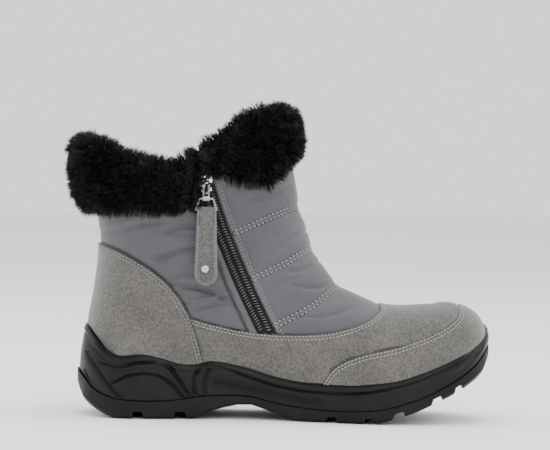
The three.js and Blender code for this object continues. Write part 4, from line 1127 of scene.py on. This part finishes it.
def makeMidsole():
    u = np.linspace(0, 2, cup["around"] * 2, endpoint=False)
    v = np.concatenate([[-0.03, -0.015], np.linspace(0, 1, cup["up"])])
    shares, byAll, byBack = (np.array([row[k] for row in cup["levels"]]) for k in (0, 1, 2))
    by, atBack = np.interp(v, shares, byAll), np.interp(v, shares, byBack)
    by[:2] += [3.5, 1.0]
    atBack[:2] += [3.5, 1.0]
    vv = np.broadcast_to(v[None], (len(u), len(v)))
    x, y = np.moveaxis(np.stack([outlineRow(a, b, u) for a, b in zip(by, atBack)], 1), -1, 0)
    low, high = followLine(jointLine, x), followLine(randLine, x)
    z = low + (high - low) * np.clip(vv, 0, 1)
    wall = np.stack([x, y, z], -1)
    outward = unit(np.cross(np.roll(wall, -1, 0) - np.roll(wall, 1, 0), np.gradient(wall, axis=1)))
    outward = unit(outward * [1, 1, 0.35])
    # The wall swells a little between a pinched foot and the rand's lip.
    tall = np.maximum(high - low, 1)
    fade = smoothStep(0, 0.05, vv) * (1 - smoothStep(0.93, 1.0, vv))
    below = (1 - vv) * tall
    swell = cup["swell"] * np.sin(math.pi * np.clip(vv, 0, 1)) - cup["pinch"] * np.exp(-(vv * tall) ** 2)
    rim = 0.55 * np.exp(-((below - 2.2) / 1.5) ** 2) - 0.5 * np.exp(-((below - 4.6) / 0.9) ** 2)
    depth = carved(x, z)
    proud = swell + rim - depth * fade + clearance(wall, u) * smoothStep(0.3, 1, vv)
    wall = wall + outward * proud[..., None]
    # The lip rolls over a quarter circle and dives inside the suede.
    roll = np.linspace(0.15, 1, 7) * math.pi / 2
    edge, way = wall[:, -1:], outward[:, -1:] * [1, 1, 0]
    up = np.array([0, 0, 1.0])
    step = lambda inwards, upwards: up * np.array(upwards)[:, None] - way * np.array(inwards)[:, None]
    lip = edge + step(cup["lip"] * (1 - np.cos(roll)), cup["lip"] * np.sin(roll))
    dive = lip[:, -1:] + step([1.5, cup["lipIn"], cup["lipIn"]], [-0.1, -0.8, -5.0])
    whole = np.concatenate([wall, lip, dive], 1)
    # Painted shade: darkest in the carved grooves, along the top of the wall under the suede, and over the
    # whole lip and its dive.
    paintedShade = np.clip(depth / 1.3, 0, 1) * fade + smoothStep(1.1, 0.2, below)
    paintedShade = np.concatenate([np.clip(paintedShade, 0, 1), np.ones((len(u), lip.shape[1] + dive.shape[1]))], 1)
    faces = gridFaces(*whole.shape[:2], closeRows=True)
    makeMesh("midsoleCup", whole, faces, midRubber, slot="midsole_rubber", replaces=["midsole"],
             attributes={"paintedShade": paintedShade})


makeMidsole()
print("midsole")

# Studio: a pale floor, an even white sky and three soft lamps. Powers are in watts.
studio = {"floor": 9.0, "floorZ": -0.0002, "floorGrey": 0.9, "sky": 1.4, "target": (0.09, 0, 0.08),
          "lamps": [("front", (0.4, -1.7, 1.3), 1.1, 9), ("left", (-1.5, 0.2, 1.1), 1.0, 13),
                    ("right", (1.7, 0.1, 1.2), 1.0, 12), ("top", (0.15, -0.15, 1.9), 1.2, 22)]}


def makeStudio():
    reach, level = studio["floor"], studio["floorGrey"]
    mesh = bpy.data.meshes.new("floor")
    corners = [(a * reach, b * reach, studio["floorZ"]) for a, b in ((-1, -1), (1, -1), (1, 1), (-1, 1))]
    mesh.from_pydata(corners, [], [(0, 1, 2, 3)])
    f = Finish("paleFloor", Roughness=0.9)
    mesh.materials.append(f.set(Base_Color=f.mix(f.noise(3), grey(level), grey(level + 0.02))))
    floor = bpy.data.objects.new("floor", mesh)
    bpy.context.scene.collection.objects.link(floor)
    world = bpy.data.worlds.new("studio")
    bpy.context.scene.world = world
    world.use_nodes = True
    sky = world.node_tree.nodes["Background"]
    sky.inputs[0].default_value, sky.inputs[1].default_value = (1, 1, 1, 1), studio["sky"]
    for name, place, size, power in studio["lamps"]:
        data = bpy.data.lights.new(name, "AREA")
        data.size, data.energy = size, power
        lamp = bpy.data.objects.new(name, data)
        lamp.location = place
        lamp.rotation_euler = (Vector(studio["target"]) - Vector(place)).to_track_quat("-Z", "Y").to_euler()
        bpy.context.scene.collection.objects.link(lamp)


makeStudio()
print("studio")
